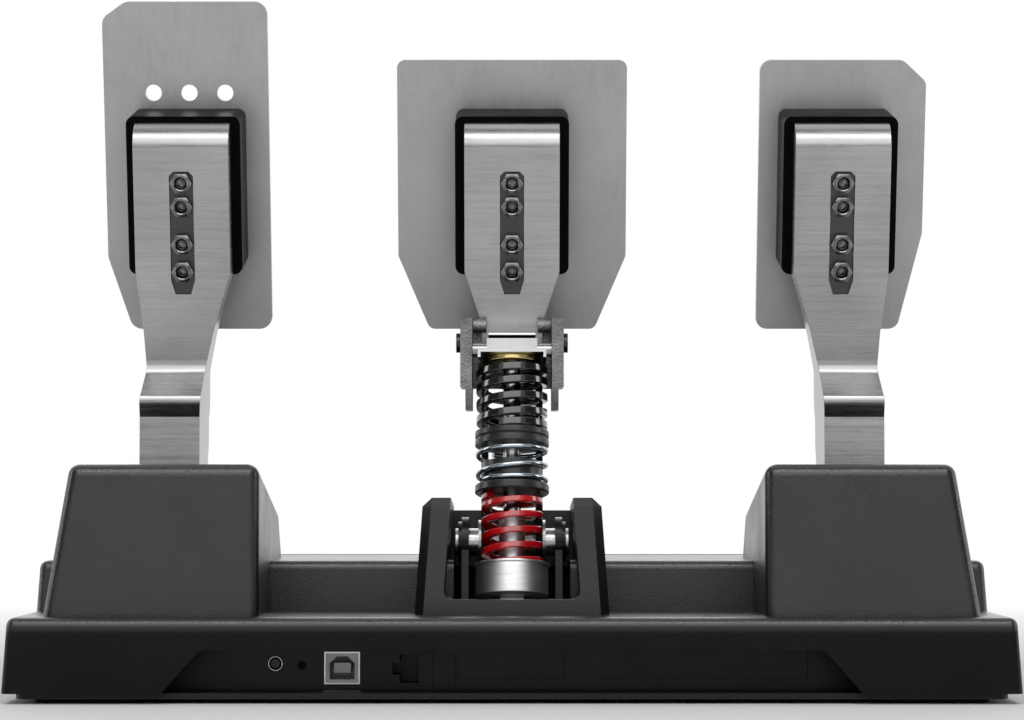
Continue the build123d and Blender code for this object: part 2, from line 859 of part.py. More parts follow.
# Push button beside the sockets, with the switch that it presses on the board
button_face_y = panel_y + button_proud
button_flange_y = panel_y - panel_thick - pin_clear
switch_face_y = button_face_y - button_length - button_travel - pin_clear
with BuildPart() as push_button:
    rod_along_y((button_face_y - button_length, button_face_y), button_x, button_z, button_r)
    chamfer(push_button.faces().sort_by(Axis.Y)[-1].edges(), length=plate_edge)
    rod_along_y((button_flange_y - button_flange, button_flange_y), button_x, button_z, button_flange_r)
save(push_button.part, "push_button")

with BuildPart() as status_led:
    rod_along_y((panel_y - led_length, panel_y), led_x, led_z, led_r)
save(status_led.part, "status_led")

# Main board, hung under the ledge, with the chips and the holders of the button and the light
with BuildPart() as main_board:
    block(board_x, board_y, (board_low, board_low + board_thick))
    block((button_x - button_flange_r, button_x + button_flange_r),
          (board_y[0] + board_boss_inset, switch_face_y),
          (button_z - button_r, board_low))
    block((led_x - led_r, led_x + led_r), (board_y[0] + board_boss_inset, panel_y - led_length),
          (led_z - led_r, board_low))
    block((usb_x - usb_width / 2, usb_x + usb_width / 2),
          (board_y[0] + board_boss_inset, usb_face_y - usb_depth), (board_low - wall, board_low))
    block((usb_x - usb_width / 2, usb_x + usb_width / 2), (usb_face_y - usb_depth, board_y[1]),
          (usb_z + usb_height / 2, board_low))
    block((jack_x - jack_width / 2, jack_x + jack_width / 2), (panel_y - jack_depth, board_y[1]),
          (jack_z + jack_height / 2, board_low))
save(main_board.part, "main_board")

# Brackets: bent steel cradles that carry each pedal's axle
head_share = 0.9
for name, centre in bracket_centres.items():
    half = bracket_halves[name]
    with BuildPart() as bracket:
        with BuildSketch(Plane.YZ.offset(centre)):
            Polygon((bracket_front_y, base_bottom), (bracket_rear_y, base_bottom),
                    (hinge_y + bracket_head_r * head_share, hinge_z),
                    (hinge_y - bracket_head_r * head_share, hinge_z), align=None)
            with Locations((hinge_y, hinge_z)):
                Circle(bracket_head_r)
        extrude(amount=half + bracket_plate, both=True)
        block((centre - half, centre + half), (bracket_front_y - wall, bracket_rear_y + wall),
              (bracket_base_top, hinge_z + bracket_head_r + wall), mode=Mode.SUBTRACT)
        block((centre - half - bracket_plate - bracket_foot, centre + half + bracket_plate + bracket_foot),
              (bracket_front_y, bracket_rear_y), (base_bottom, bracket_base_top))
        reach = half + wall * 2
        rod_along_x((centre - reach, centre + reach), hinge_y, hinge_z, axle_r + pin_clear,
                    mode=Mode.SUBTRACT)
        if name != "brake":
            block((centre - half, centre + half), (bracket_front_y, bracket_front_y + bracket_plate),
                  (bracket_base_top, return_z + bracket_head_r))
            rod_along_y((bracket_front_y + bracket_plate, bracket_front_y + bracket_plate + return_stud),
                        centre, return_z, return_stud_r)
            inner = math.copysign(1, centre)
            rod_along_x((centre - inner * half, centre - inner * (half + wall)), magnet_y, magnet_z,
                        magnet_r + fit_gap, mode=Mode.SUBTRACT)
        for side in (-1, 1):
            for y in bracket_ys:
                rod_along_z((0, bracket_base_top + wall),
                            centre + side * (half + bracket_plate + bracket_foot - screw_inset), y,
                            screw_r + pin_clear, mode=Mode.SUBTRACT)
    save(bracket.part, f"{name}_bracket")

# Axles, grooved at both ends for their clips
axle_reach = bracket_plate + clip_inset + clip_thick + pin_clear
for name, centre in bracket_centres.items():
    reach = bracket_halves[name] + axle_reach
    groove_at = bracket_halves[name] + bracket_plate + pin_clear
    with BuildPart() as axle:
        rod_along_x((centre - reach, centre + reach), hinge_y, hinge_z, axle_r)
        chamfer(axle.edges().filter_by(GeomType.CIRCLE), length=plate_edge)
        for side in (-1, 1):
            with BuildSketch(Plane.YZ.offset(centre + side * groove_at)):
                with Locations((hinge_y, hinge_z)):
                    Circle(axle_r + wall)
                    Circle(axle_r - clip_groove, mode=Mode.SUBTRACT)
            extrude(amount=side * (clip_thick + pin_clear), mode=Mode.SUBTRACT)
    save(axle.part, f"{name}_axle")

# Retaining clips on the axles, open below
with BuildPart() as axle_clips:
    for name, centre in bracket_centres.items():
        for side in (-1, 1):
            clip_face = centre + side * (bracket_halves[name] + bracket_plate + pin_clear)
            with BuildSketch(Plane.YZ.offset(clip_face)):
                with Locations((hinge_y, hinge_z)):
                    Circle(clip_r)
                    Circle(axle_r - clip_groove + pin_clear, mode=Mode.SUBTRACT)
                with Locations((hinge_y, hinge_z - clip_r)):
                    Rectangle(axle_r, clip_r, mode=Mode.SUBTRACT)
            extrude(amount=side * clip_thick)
save(axle_clips.part, "axle_clips")


pocket_right = [
    (pocket_foot_width / 2, pocket_low_u),
    (pocket_width / 2, pocket_low_u + pocket_foot_u),
    (pocket_width / 2, pocket_high_u - pocket_head_u),
    (pocket_foot_width / 2, pocket_high_u),
]
pocket_outline = pocket_right + [(-x, u) for x, u in reversed(pocket_right)]


def outer_arm_part():
    """The lever of an outer pedal, for the driver's right: a channel with its web to the rear."""
    top_y, top_z = web_point(0, arm_top_u)
    neck_u = (neck_z - web_z) / tilt_cos
    neck_y = web_point(0, neck_u)[0]
    front_top = web_point(-arm_flange, arm_top_u)
    flare_y = web_point(-arm_flange, (flare_z - web_z) / tilt_cos)[0]
    rear = [(top_y, top_z), (neck_y, neck_z), (knuckle_y, knuckle_z), (lever_rear_y, knuckle_low_z),
            (lever_rear_y, tail_z)]
    front = [(tail_front_y, tail_z), (hub_front_y, hinge_z), (lever_front_y, lever_front_low_z),
             (lever_front_y, lever_front_high_z), (flare_y, flare_z), front_top]
    outline_left = [(-arm_half, arm_straight_z), (-bend_left, arm_bend_z), (-neck_left, neck_z),
                    (-knuckle_left, knuckle_z), (-lever_left, knuckle_low_z), (-lever_left, tail_z - wall)]
    outline_right = [(lever_right, tail_z - wall), (lever_right, knuckle_low_z), (knuckle_right, knuckle_z),
                     (neck_right, neck_z), (bend_right, arm_bend_z), (arm_half, arm_straight_z)]
    crown = [(arm_half, top_z + wall), (-arm_half, top_z + wall)]
    inner_left = [(x + arm_skin, z) for x, z in outline_left]
    inner_right = [(x - arm_skin, z) for x, z in outline_right]
    inner_crown = [(arm_half - arm_skin, top_z + wall), (-arm_half + arm_skin, top_z + wall)]
    web_shift = web_thick / tilt_cos
    core_rear = [(top_y - web_shift, top_z - web_thick)] + [(y - web_shift, z) for y, z in rear[1:]]
    core_front = [(lever_rear_y - web_shift - overrun, tail_z), (top_y - overrun, top_z - web_thick)]
    facing = Plane(origin=(pedal_offset, 0, 0), x_dir=(-1, 0, 0), z_dir=(0, 1, 0))
    with BuildPart() as core:
        with BuildSketch(Plane.YZ.offset(pedal_offset)):
            Polygon(*core_rear, *core_front, align=None)
        extrude(amount=base_width, both=True)
        with BuildSketch(facing):
            Polygon(*inner_left, *inner_right, *inner_crown, align=None)
        extrude(amount=overrun, both=True, mode=Mode.INTERSECT)
        inner_bend = core.edges().filter_by(Axis.X).sort_by(
            lambda e: e.center().Y * tilt_sin * 2 + e.center().Z)[-1]
        fillet(inner_bend, radius=arm_top_round - web_thick)
    with BuildPart() as arm:
        with BuildSketch(Plane.YZ.offset(pedal_offset)) as side_view:
            Polygon(*rear, *front, align=None)
            corners = side_view.vertices()
            fillet(corners.filter_by(lambda v: v.Y > neck_z - fit_gap and v.Y < neck_z + fit_gap),
                   radius=knuckle_round * 2)
            corners = side_view.vertices()
            knuckle_corners = corners.filter_by(lambda v: lever_front_low_z < v.Y < neck_z)
            fillet(knuckle_corners.filter_by(lambda v: v.X > knuckle_y - fit_gap),
                   radius=knuckle_round)
        extrude(amount=base_width, both=True)
        with BuildSketch(facing):
            Polygon(*outline_left, *outline_right, *crown, align=None)
        extrude(amount=overrun, both=True, mode=Mode.INTERSECT)
        crown_edge = arm.edges().filter_by(Axis.X).sort_by(
            lambda e: e.center().Y * tilt_sin * 2 + e.center().Z)[-1]
        fillet(crown_edge, radius=arm_top_round)
        add(core.part, mode=Mode.SUBTRACT)
        block((lever_centre - lever_half + arm_skin, lever_centre + lever_half - arm_skin),
              (0, lever_rear_y + wall), (tail_z - wall, web_low_z), mode=Mode.SUBTRACT)
        block((lever_centre - lever_half + arm_skin, lever_centre + lever_half - arm_skin),
              (tail_front_y, tail_front_y + tail_plate), (tail_z, tail_z + tail_plate_height))
        rod_along_x((lever_centre - lever_half - wall, lever_centre + lever_half + wall), hinge_y, hinge_z,
                    bush_r + bush_clear, mode=Mode.SUBTRACT)
        rod_along_x((lever_centre - lever_half - wall, lever_centre - lever_half + arm_skin + pin_clear),
                    magnet_y, magnet_z, magnet_r + bush_clear, mode=Mode.SUBTRACT)
        with BuildSketch(pedal_plane(pedal_offset, -pocket_depth)):
            Polygon(*pocket_outline, align=None)
        extrude(amount=wall, mode=Mode.SUBTRACT)
        with BuildSketch(pedal_plane(pedal_offset, wall)):
            with Locations(*[(0, u) for u in bolt_places]):
                Circle(bolt_r + bolt_clear)
        extrude(amount=-arm_flange, mode=Mode.SUBTRACT)
    return arm.part


throttle_arm_part = outer_arm_part()
save(throttle_arm_part, "throttle_arm")
with BuildPart() as clutch_arm:
    mirror(throttle_arm_part, about=Plane.YZ)
save(clutch_arm.part, "clutch_arm")


def brake_arm_part():
    """The brake lever: the same channel, with an open middle behind the spring stack."""
    top_y, top_z = web_point(0, arm_top_u)
    neck_y = web_point(0, (brake_neck_z - web_z) / tilt_cos)[0]
    front_top = web_point(-arm_flange, arm_top_u)
    flare_y = web_point(-arm_flange, (flare_z - web_z) / tilt_cos)[0]
    outline = [(top_y, top_z), (neck_y, brake_neck_z), (brake_rear_y, brake_front_web_z),
               (lever_rear_y, hinge_z), (hinge_y, hinge_z - hub_r), (brake_hub_front_y, hinge_z),
               (brake_front_y, lever_front_low_z), (brake_front_y, lever_front_high_z),
               (flare_y, flare_z), front_top]
    front_right = [(brake_half, hinge_z - hub_r - wall), (brake_half, brake_neck_z),
                   (arm_half, arm_straight_z), (arm_half, top_z + wall)]
    front_left = [(-x, z) for x, z in reversed(front_right)]
    inner_right = [(x - arm_skin, z) for x, z in front_right]
    inner_left = [(-x, z) for x, z in reversed(inner_right)]
    web_shift = web_thick / tilt_cos
    core_rear = [(top_y - web_shift, top_z - web_thick), (neck_y - web_shift, brake_neck_z),
                 (neck_y - web_shift, brake_web_low_z), (top_y, brake_web_low_z), (top_y, 0), (-overrun, 0),
                 (-overrun, top_z - web_thick)]
    with BuildPart() as core:
        with BuildSketch(Plane.YZ):
            Polygon(*core_rear, align=None)
        extrude(amount=base_width, both=True)
        with BuildSketch(Plane.XZ):
            Polygon(*inner_right, *inner_left, align=None)
        extrude(amount=overrun, both=True, mode=Mode.INTERSECT)
        inner_bend = core.edges().filter_by(Axis.X).sort_by(
            lambda e: e.center().Y * tilt_sin * 2 + e.center().Z)[-1]
        fillet(inner_bend, radius=arm_top_round - web_thick)
    with BuildPart() as arm:
        with BuildSketch(Plane.YZ):
            Polygon(*outline, align=None)
            with Locations((hinge_y, hinge_z)):
                Circle(hub_r)
        extrude(amount=base_width, both=True)
        with BuildSketch(Plane.XZ):
            Polygon(*front_right, *front_left, align=None)
        extrude(amount=overrun, both=True, mode=Mode.INTERSECT)
        crown_edge = arm.edges().filter_by(Axis.X).sort_by(
            lambda e: e.center().Y * tilt_sin * 2 + e.center().Z)[-1]
        fillet(crown_edge, radius=arm_top_round)
        add(core.part, mode=Mode.SUBTRACT)
        block((-brake_half + arm_skin, brake_half - arm_skin), (brake_front_y, brake_front_y + arm_skin),
              (lever_front_low_z, lever_front_high_z))
        rod_along_x((-base_width, base_width), hinge_y, hinge_z, bush_r + bush_clear, mode=Mode.SUBTRACT)
        rod_along_x((-base_width, base_width), yoke_bolt_y, yoke_bolt_z, yoke_bolt_r + pin_clear,
                    mode=Mode.SUBTRACT)
        with BuildSketch(pedal_plane(0, -pocket_depth)):
            Polygon(*pocket_outline, align=None)
        extrude(amount=wall, mode=Mode.SUBTRACT)
        with BuildSketch(pedal_plane(0, wall)):
            with Locations(*[(0, u) for u in bolt_places]):
                Circle(bolt_r + bolt_clear)
        extrude(amount=-arm_flange, mode=Mode.SUBTRACT)
    return arm.part


save(brake_arm_part(), "brake_arm")

# Bushes in both flanges of each arm
arm_halves = {"throttle": lever_half, "brake": brake_half, "clutch": lever_half}
for name, centre in bracket_centres.items():
    with BuildPart() as bushes:
        for side in (-1, 1):
            outside = centre + side * arm_halves[name]
            rod_along_x((outside - side * arm_skin, outside + side * bush_flange), hinge_y, hinge_z, bush_r)
            rod_along_x((outside, outside + side * bush_flange), hinge_y, hinge_z, bush_flange_r)
        rod_along_x((centre - base_width, centre + base_width), hinge_y, hinge_z, axle_r + axle_clear,
                    mode=Mode.SUBTRACT)
    save(bushes.part, f"{name}_bushes")

# Magnets in the outer arms and the boards that read them through the brackets
for name, side in (("throttle", 1), ("clutch", -1)):
    flank = side * (lever_centre - lever_half)
    plate_face = side * (lever_centre - outer_bracket_half - bracket_plate)
    with BuildPart() as magnet:
        rod_along_x((flank, flank + side * magnet_thick), magnet_y, magnet_z, magnet_r)
    save(magnet.part, f"{name}_magnet")
    with BuildPart() as sensor_board:
        block((plate_face - side * sensor_thick, plate_face), (sensor_front_y, sensor_rear_y),
              (sensor_low_z, sensor_high_z))
        block((plate_face, plate_face + side * sensor_thick),
              (magnet_y - magnet_r / 2, magnet_y + magnet_r / 2),
              (magnet_z - magnet_r / 2, magnet_z + magnet_r / 2))
    save(sensor_board.part, f"{name}_sensor_board")

# Return springs between each bracket's front tab and the lever's tail
return_from = bracket_front_y + bracket_plate + return_gap
return_to = tail_front_y - return_gap
return_coil = coil(return_radius, 0, return_to - return_from, return_turns, return_wire)
for name, centre in (("throttle", lever_centre), ("clutch", -lever_centre)):
    return_plane = Plane(origin=(centre, return_from, return_z), x_dir=(1, 0, 0), z_dir=(0, 1, 0))
    save(return_plane.location * return_coil, f"{name}_return_spring")

# Spacer blocks between the plates and the arms, each with a tongue that fills the channel
centres = {"throttle": pedal_offset, "brake": 0, "clutch": -pedal_offset}
for name, centre in centres.items():
    with BuildPart() as spacer:
        with BuildSketch(pedal_plane(centre, -arm_flange)):
            with Locations((0, (spacer_low_u + spacer_high_u) / 2)):
                Rectangle(spacer_width, spacer_high_u - spacer_low_u)
        extrude(amount=-spacer_depth)
        fillet(spacer.edges().filter_by(lambda e: abs(e.tangent_at(0).X) < fit_gap
                                        and abs(e.tangent_at(0).Z) < math.sin(math.radians(lean * 2))),
               radius=spacer_round)
        with BuildSketch(pedal_plane(centre, -arm_flange)):
            with Locations((0, (tongue_low_u + tongue_high_u) / 2)):
                Rectangle(2 * (arm_half - arm_skin - tongue_clear), tongue_high_u - tongue_low_u)
        extrude(amount=arm_flange - web_thick - tongue_clear)
        with BuildSketch(pedal_plane(centre, 0)):
            with Locations(*[(0, u) for u in bolt_places]):
                Circle(bolt_r + bolt_clear)
        extrude(amount=-arm_flange - spacer_depth, mode=Mode.SUBTRACT)
    save(spacer.part, f"{name}_spacer")

# Pedal plates: brushed sheet, each with its own outline. Outline x grows towards -X
throttle_low = throttle_shift - throttle_half
throttle_high = throttle_shift + throttle_half
clutch_low = clutch_shift - clutch_half
clutch_high = clutch_shift + clutch_half
plate_outlines = {
    "throttle": [
        (throttle_low, plate_low_u + throttle_slant_u),
        (throttle_low, throttle_high_u - throttle_chamfer_u),
        (throttle_low + throttle_chamfer_x, throttle_high_u),
        (throttle_high, throttle_high_u),
        (throttle_high, plate_low_u),
        (throttle_low + throttle_slant_x, plate_low_u),
    ],
    "brake": [
        (-brake_half_width, plate_low_u + brake_slant_u),
        (-brake_half_width, brake_high_u),
        (brake_half_width, brake_high_u),
        (brake_half_width, plate_low_u + brake_slant_u),
        (brake_half_width - brake_slant_x, plate_low_u),
        (-brake_half_width + brake_slant_x, plate_low_u),
    ],
    "clutch": [
        (clutch_low, plate_low_u),
        (clutch_low, brake_high_u),
        (clutch_high - clutch_chamfer_x, brake_high_u),
        (clutch_high, brake_high_u - clutch_chamfer_u),
        (clutch_high, plate_low_u + clutch_slant_u),
        (clutch_high - clutch_slant_x, plate_low_u),
    ],
}
plate_rounds = {"throttle": throttle_top_round, "brake": brake_top_round, "clutch": clutch_round}
plate_back = -arm_flange - spacer_depth
for name, centre in centres.items():
    with BuildPart() as pedal_plate:
        with BuildSketch(pedal_plane(centre, plate_back)) as face:
            Polygon(*plate_outlines[name], align=None)
            fillet(face.vertices(), radius=plate_rounds[name])
            with Locations(*[(0, u) for u in bolt_places]):
                Circle(bolt_r + bolt_clear, mode=Mode.SUBTRACT)
            if name == "throttle":
                with Locations((0, face_hole_u)):
                    with GridLocations(face_hole_pitch, 0, 3, 1):
                        Circle(face_hole_r, mode=Mode.SUBTRACT)
        extrude(amount=-plate_thick)
    save(pedal_plate.part, f"{name}_plate")

# Button-head bolts through each plate, and the lock nuts in the arm's pocket
nut_seat = -pocket_depth
for name, centre in centres.items():
    plane = pedal_plane(centre, plate_back - plate_thick)
    with BuildPart() as bolts:
        for i, u in enumerate(bolt_places):
            tip = nut_seat + nut_height - (bolt_recess if i % 2 == 0 else bolt_short)
            with BuildSketch(plane):
                with Locations((0, u)):
                    Circle(bolt_r)
            extrude(amount=tip - plate_back + plate_thick)
            with BuildSketch(plane):
                with Locations((0, u)):
                    Circle(bolt_head_r)
            extrude(amount=-bolt_head)
            with BuildSketch(plane.offset(-bolt_head)):
                with Locations((0, u)):
                    RegularPolygon(bolt_socket_r, 6)
            extrude(amount=bolt_socket, mode=Mode.SUBTRACT)
    save(bolts.part, f"{name}_bolts")
    with BuildPart() as nuts:
        with BuildSketch(pedal_plane(centre, nut_seat)):
            with Locations(*[(0, u) for u in bolt_places]):
                RegularPolygon(nut_flats / 2, 6, major_radius=False)
                Circle(bolt_r + nut_clear, mode=Mode.SUBTRACT)
        extrude(amount=nut_height)
    save(nuts.part, f"{name}_nuts")

# Yoke: a cast fork on the brake arm whose ears hold the top of the spring stack
ear_outline = [
    (yoke_front_y, yoke_high_z),
    (yoke_rear_y - yoke_round, yoke_high_z),
    (yoke_rear_y, yoke_high_z - yoke_round),
    (yoke_rear_y, yoke_shoulder_z),
    (yoke_rear_y - yoke_round, yoke_narrow_z),
    (yoke_front_y + yoke_round, yoke_narrow_z),
    (yoke_front_y, yoke_shoulder_z),
]
barrel_y = web_point(yoke_barrel_gap + yoke_barrel_r, (yoke_barrel_z - web_z) / tilt_cos)[0]
trunnion_y = pivot_y - trunnion_at * stack_sin
trunnion_z = pivot_z + trunnion_at * stack_cos
with BuildPart() as brake_yoke:
    for side in (-1, 1):
        with BuildSketch(Plane.YZ.offset(side * yoke_ear_in)):
            Polygon(*ear_outline, align=None)
        extrude(amount=side * (yoke_ear_out - yoke_ear_in))
        block((side * yoke_narrow_out, side * (yoke_ear_out + wall)), (0, yoke_rear_y + wall),
              (yoke_narrow_z - wall, yoke_shoulder_z), mode=Mode.SUBTRACT)
        block((side * (brake_half + yoke_lug_gap), side * yoke_ear_in),
              (yoke_lug_front_y, yoke_front_y + yoke_round), (yoke_lug_low_z, yoke_high_z - yoke_round))
        block((side * yoke_ear_in, side * yoke_ear_out), (yoke_lug_front_y, yoke_front_y),
              (yoke_lug_low_z, yoke_high_z - yoke_round))
        rod_along_x((side * yoke_barrel_in, side * yoke_ear_out), barrel_y, yoke_barrel_z, yoke_barrel_r)
    rod_along_x((-base_width, base_width), trunnion_y, trunnion_z, trunnion_r + trunnion_clear,
                mode=Mode.SUBTRACT)
    block((-yoke_ear_out, yoke_ear_out), yoke_bridge_y, yoke_bridge_z)
    rod_along_x((-base_width, base_width), yoke_bolt_y, yoke_bolt_z, yoke_bolt_r + pin_clear,
                mode=Mode.SUBTRACT)
save(brake_yoke.part, "brake_yoke")

with BuildPart() as yoke_bolt:
    rod_along_x((-yoke_ear_out - yoke_bolt_head, yoke_ear_out + yoke_bolt_head), yoke_bolt_y, yoke_bolt_z,
                yoke_bolt_r)
    for side in (-1, 1):
        rod_along_x((side * yoke_ear_out, side * (yoke_ear_out + yoke_bolt_head)), yoke_bolt_y, yoke_bolt_z,
                    yoke_bolt_head_r)
    sleeve_half = brake_half - arm_skin - pin_clear
    rod_along_x((-sleeve_half, sleeve_half), yoke_bolt_y, yoke_bolt_z, yoke_sleeve_r)
save(yoke_bolt.part, "yoke_bolt")


def on_stack(at):
    """The plane square to the spring stack at a distance from the cup's pivot."""
    return stack_plane.offset(at)


# Spring cup: rocks on its pivot, holds the lower spring and guides the rod
with BuildPart() as spring_cup:
    with BuildSketch(on_stack(cup_low)):
        Circle(cup_r)
    extrude(amount=cup_high - cup_low)
    rim_edges = spring_cup.edges().filter_by(GeomType.CIRCLE)
    chamfer(rim_edges.sort_by(lambda e: e.arc_center.Z)[0], length=cup_chamfer)
    with BuildSketch(on_stack(cup_high - cup_rim)):
        Circle(cup_rim_r)
    extrude(amount=cup_rim)
    with BuildSketch(on_stack(cup_low + cup_floor)):
        Circle(cup_bore_r)
    extrude(amount=cup_high, mode=Mode.SUBTRACT)
    with BuildSketch(on_stack(cup_low + cup_floor)):
        Circle(guide_r)
    extrude(amount=guide_high - cup_low - cup_floor)
    with BuildSketch(on_stack(cup_low + cup_floor)):
        Circle(rod_r + rod_clear)
    extrude(amount=guide_high, mode=Mode.SUBTRACT)
    rod_along_x((-cup_tongue_half, cup_tongue_half), pivot_y, pivot_z, cup_tongue_r)
    with BuildSketch(stack_plane):
        Rectangle(2 * cup_tongue_half, 2 * cup_tongue_r)
    extrude(amount=cup_low + cup_chamfer)
    rod_along_x((-base_width, base_width), pivot_y, pivot_z, pin_r + pin_clear, mode=Mode.SUBTRACT)
save(spring_cup.part, "spring_cup")

# Rod with the trunnion block and the stamped plate above the springs
with BuildPart() as brake_rod:
    with BuildSketch(on_stack(rod_low)):
        Circle(rod_r)
    extrude(amount=block_low - rod_low)
    with BuildSketch(on_stack(block_low)):
        Rectangle(2 * block_half, 2 * block_deep)
    extrude(amount=block_high - block_low)
    rod_along_x((-trunnion_reach, trunnion_reach), trunnion_y, trunnion_z, trunnion_r)
    with BuildSketch(on_stack(block_low - top_plate)):
        Rectangle(2 * top_plate_half, 2 * top_plate_half)
    extrude(amount=top_plate)
    for side in (-1, 1):
        with BuildSketch(on_stack(block_low - top_plate)):
            with Locations((side * (top_plate_half - top_plate / 2), 0)):
                Rectangle(top_plate, 2 * top_plate_half)
        extrude(amount=-top_plate_flange)
save(brake_rod.part, "brake_rod")

# Brass seat under the stamped plate
seat_at = block_low - top_plate - seat_thick
with BuildPart() as brass_seat:
    with BuildSketch(on_stack(seat_at)):
        Circle(seat_r)
    extrude(amount=seat_thick)
    rim_edges = brass_seat.edges().filter_by(GeomType.CIRCLE)
    chamfer(rim_edges.sort_by(lambda e: e.arc_center.Z)[0], length=seat_lip)
    with BuildSketch(on_stack(seat_at)):
        Circle(rod_r + pin_clear)
    extrude(amount=seat_thick, mode=Mode.SUBTRACT)
save(brass_seat.part, "brass_seat")

# Upper washer: a grooved ring between the black and the zinc spring
with BuildPart() as upper_washer:
    with BuildSketch(on_stack(upper_washer_at)):
        Circle(washer_r)
    extrude(amount=upper_washer_thick)
    with BuildSketch(on_stack(upper_washer_at + upper_washer_thick / 2 - upper_washer_groove / 2)):
        Circle(washer_r)
        Circle(washer_r - upper_washer_groove, mode=Mode.SUBTRACT)
    extrude(amount=upper_washer_groove, mode=Mode.SUBTRACT)
    with BuildSketch(on_stack(upper_washer_at)):
        Circle(rod_r + rod_clear)
    extrude(amount=upper_washer_thick, mode=Mode.SUBTRACT)
save(upper_washer.part, "upper_washer")

# Lower washer: a flanged bush inside the zinc spring
with BuildPart() as lower_washer:
    with BuildSketch(on_stack(lower_washer_at)):
        Circle(washer_r)
    extrude(amount=lower_washer_thick)
    chamfer(lower_washer.edges(), length=plate_edge)
    with BuildSketch(on_stack(lower_washer_at + lower_washer_thick)):
        Circle(lower_sleeve_r)
    extrude(amount=lower_sleeve)
    with BuildSketch(on_stack(lower_washer_at)):
        Circle(rod_r + rod_clear)
    extrude(amount=lower_washer_thick + lower_sleeve, mode=Mode.SUBTRACT)
save(lower_washer.part, "lower_washer")

# The three springs of the stack, from the cup up
red_coil = coil(red_radius, cup_low + cup_floor + spring_end_gap, lower_washer_at - spring_end_gap,
                red_turns, red_radial, red_axial)
save(stack_plane.location * red_coil, "red_spring")
zinc_coil = coil(zinc_radius, lower_washer_at + lower_washer_thick + spring_end_gap,
                 upper_washer_at - spring_end_gap, zinc_turns, zinc_wire)
save(stack_plane.location * zinc_coil, "zinc_spring")
black_coil = coil(black_radius, upper_washer_at + upper_washer_thick + spring_end_gap,
                  seat_at - spring_end_gap, black_turns, black_radial, black_axial)
save(stack_plane.location * black_coil, "black_spring")

# Load cell: a bending beam fixed at its front end, with the fork of the cup's pivot on its free end
with BuildPart() as load_cell:
    block((-cell_half, cell_half), (cell_front_y, cell_rear_y), (cell_low, cell_high))
    block((-cell_half, cell_half), (cell_front_y, cell_pad_y), (base_bottom, cell_low))
    cell_middle = (cell_pad_y + fork_front_y) / 2
    cell_mid_z = (cell_low + cell_high) / 2
    for step in (-1, 1):
        rod_along_x((-base_width, base_width), cell_middle + step * cell_slot_half / 2, cell_mid_z,
                    cell_slot_r, mode=Mode.SUBTRACT)
save(load_cell.part, "load_cell")

with BuildPart() as load_cell_fork:
    block((-fork_half, fork_half), (fork_front_y, fork_rear_y), (cell_high, cell_high + fork_base))
    for side in (-1, 1):
        ears = (side * (cup_tongue_half + fork_gap), side * fork_half)
        block(ears, (pivot_y - fork_head_r, pivot_y + fork_head_r), (cell_high, pivot_z))
        rod_along_x(ears, pivot_y, pivot_z, fork_head_r)
    rod_along_x((-base_width, base_width), pivot_y, pivot_z, pin_r + pin_clear, mode=Mode.SUBTRACT)
save(load_cell_fork.part, "load_cell_fork")

with BuildPart() as cup_pin:
    rod_along_x((-fork_half - pin_head, fork_half + pin_head), pivot_y, pivot_z, pin_r)
    for side in (-1, 1):
        rod_along_x((side * (fork_half + pin_clear), side * (fork_half + pin_head)), pivot_y, pivot_z,
                    pin_r + pin_head)
save(cup_pin.part, "cup_pin")


def lead(points, name):
    """A round lead along straight runs joined by arcs."""
    turns = []
    for before, here, after in zip(points[:-2], points[1:-1], points[2:]):
        coming = Vector(*here) - Vector(*before)
        going = Vector(*after) - Vector(*here)
        turns.append(round(coming.get_angle(going), 1))
    print("lead", name, "turns", turns, "radius", lead_turn)
    with BuildPart() as wire:
        with BuildLine() as route:
            FilletPolyline(*points, radius=lead_turn)
        start = Vector(*points[0])
        with BuildSketch(Plane(origin=start, z_dir=Vector(*points[1]) - start)):
            Circle(lead_r)
        sweep(path=route.wires()[0])
    print("lead length", round(route.wires()[0].length, 1), "volume",
          round(wire.part.volume / (math.pi * lead_r ** 2), 1))
    return wire.part


# Internal leads from the two sensor boards and the load cell to the main board
board_middle_z = board_low + board_thick / 2
sensor_x = lever_centre - outer_bracket_half - bracket_plate - sensor_thick / 2 - lead_offset
sensor_y = (sensor_front_y + sensor_rear_y) / 2
throttle_route = [
    (sensor_x, sensor_y, sensor_low_z),
    (sensor_x, sensor_y, lead_low_z + lead_turn),
    (sensor_x - lead_step, sensor_y + lead_step, lead_low_z + lead_step / 2),
    (lead_throttle_x, board_y[0] - lead_end_run, board_middle_z),
    (lead_throttle_x, board_y[0], board_middle_z),
]
clutch_route = [
    (-sensor_x, sensor_y, sensor_low_z),
    (-sensor_x, sensor_y, lead_low_z + lead_turn),
    (-sensor_x + lead_step * 2, sensor_y + lead_step, lead_under_z),
    (-lead_clutch_x, lead_under_y, lead_under_z),
    (board_x[0] - lead_end_run, lead_under_y + lead_r, lead_under_z),
    (board_x[0] - lead_end_run / 2, lead_under_y + lead_r, board_middle_z),
    (board_x[0], lead_under_y + lead_r, board_middle_z),
]
cell_route = [
    (cell_half, cell_middle, cell_mid_z),
    (board_x[0] - lead_r, cell_middle, cell_mid_z),
    (lead_cell_x, cell_middle, board_middle_z),
    (lead_cell_x, board_y[0], board_middle_z),
]
with BuildPart() as internal_leads:
    add(lead(throttle_route, "throttle"))
    add(lead(clutch_route, "clutch"))
    add(lead(cell_route, "load cell"))
save(internal_leads.part, "internal_leads")
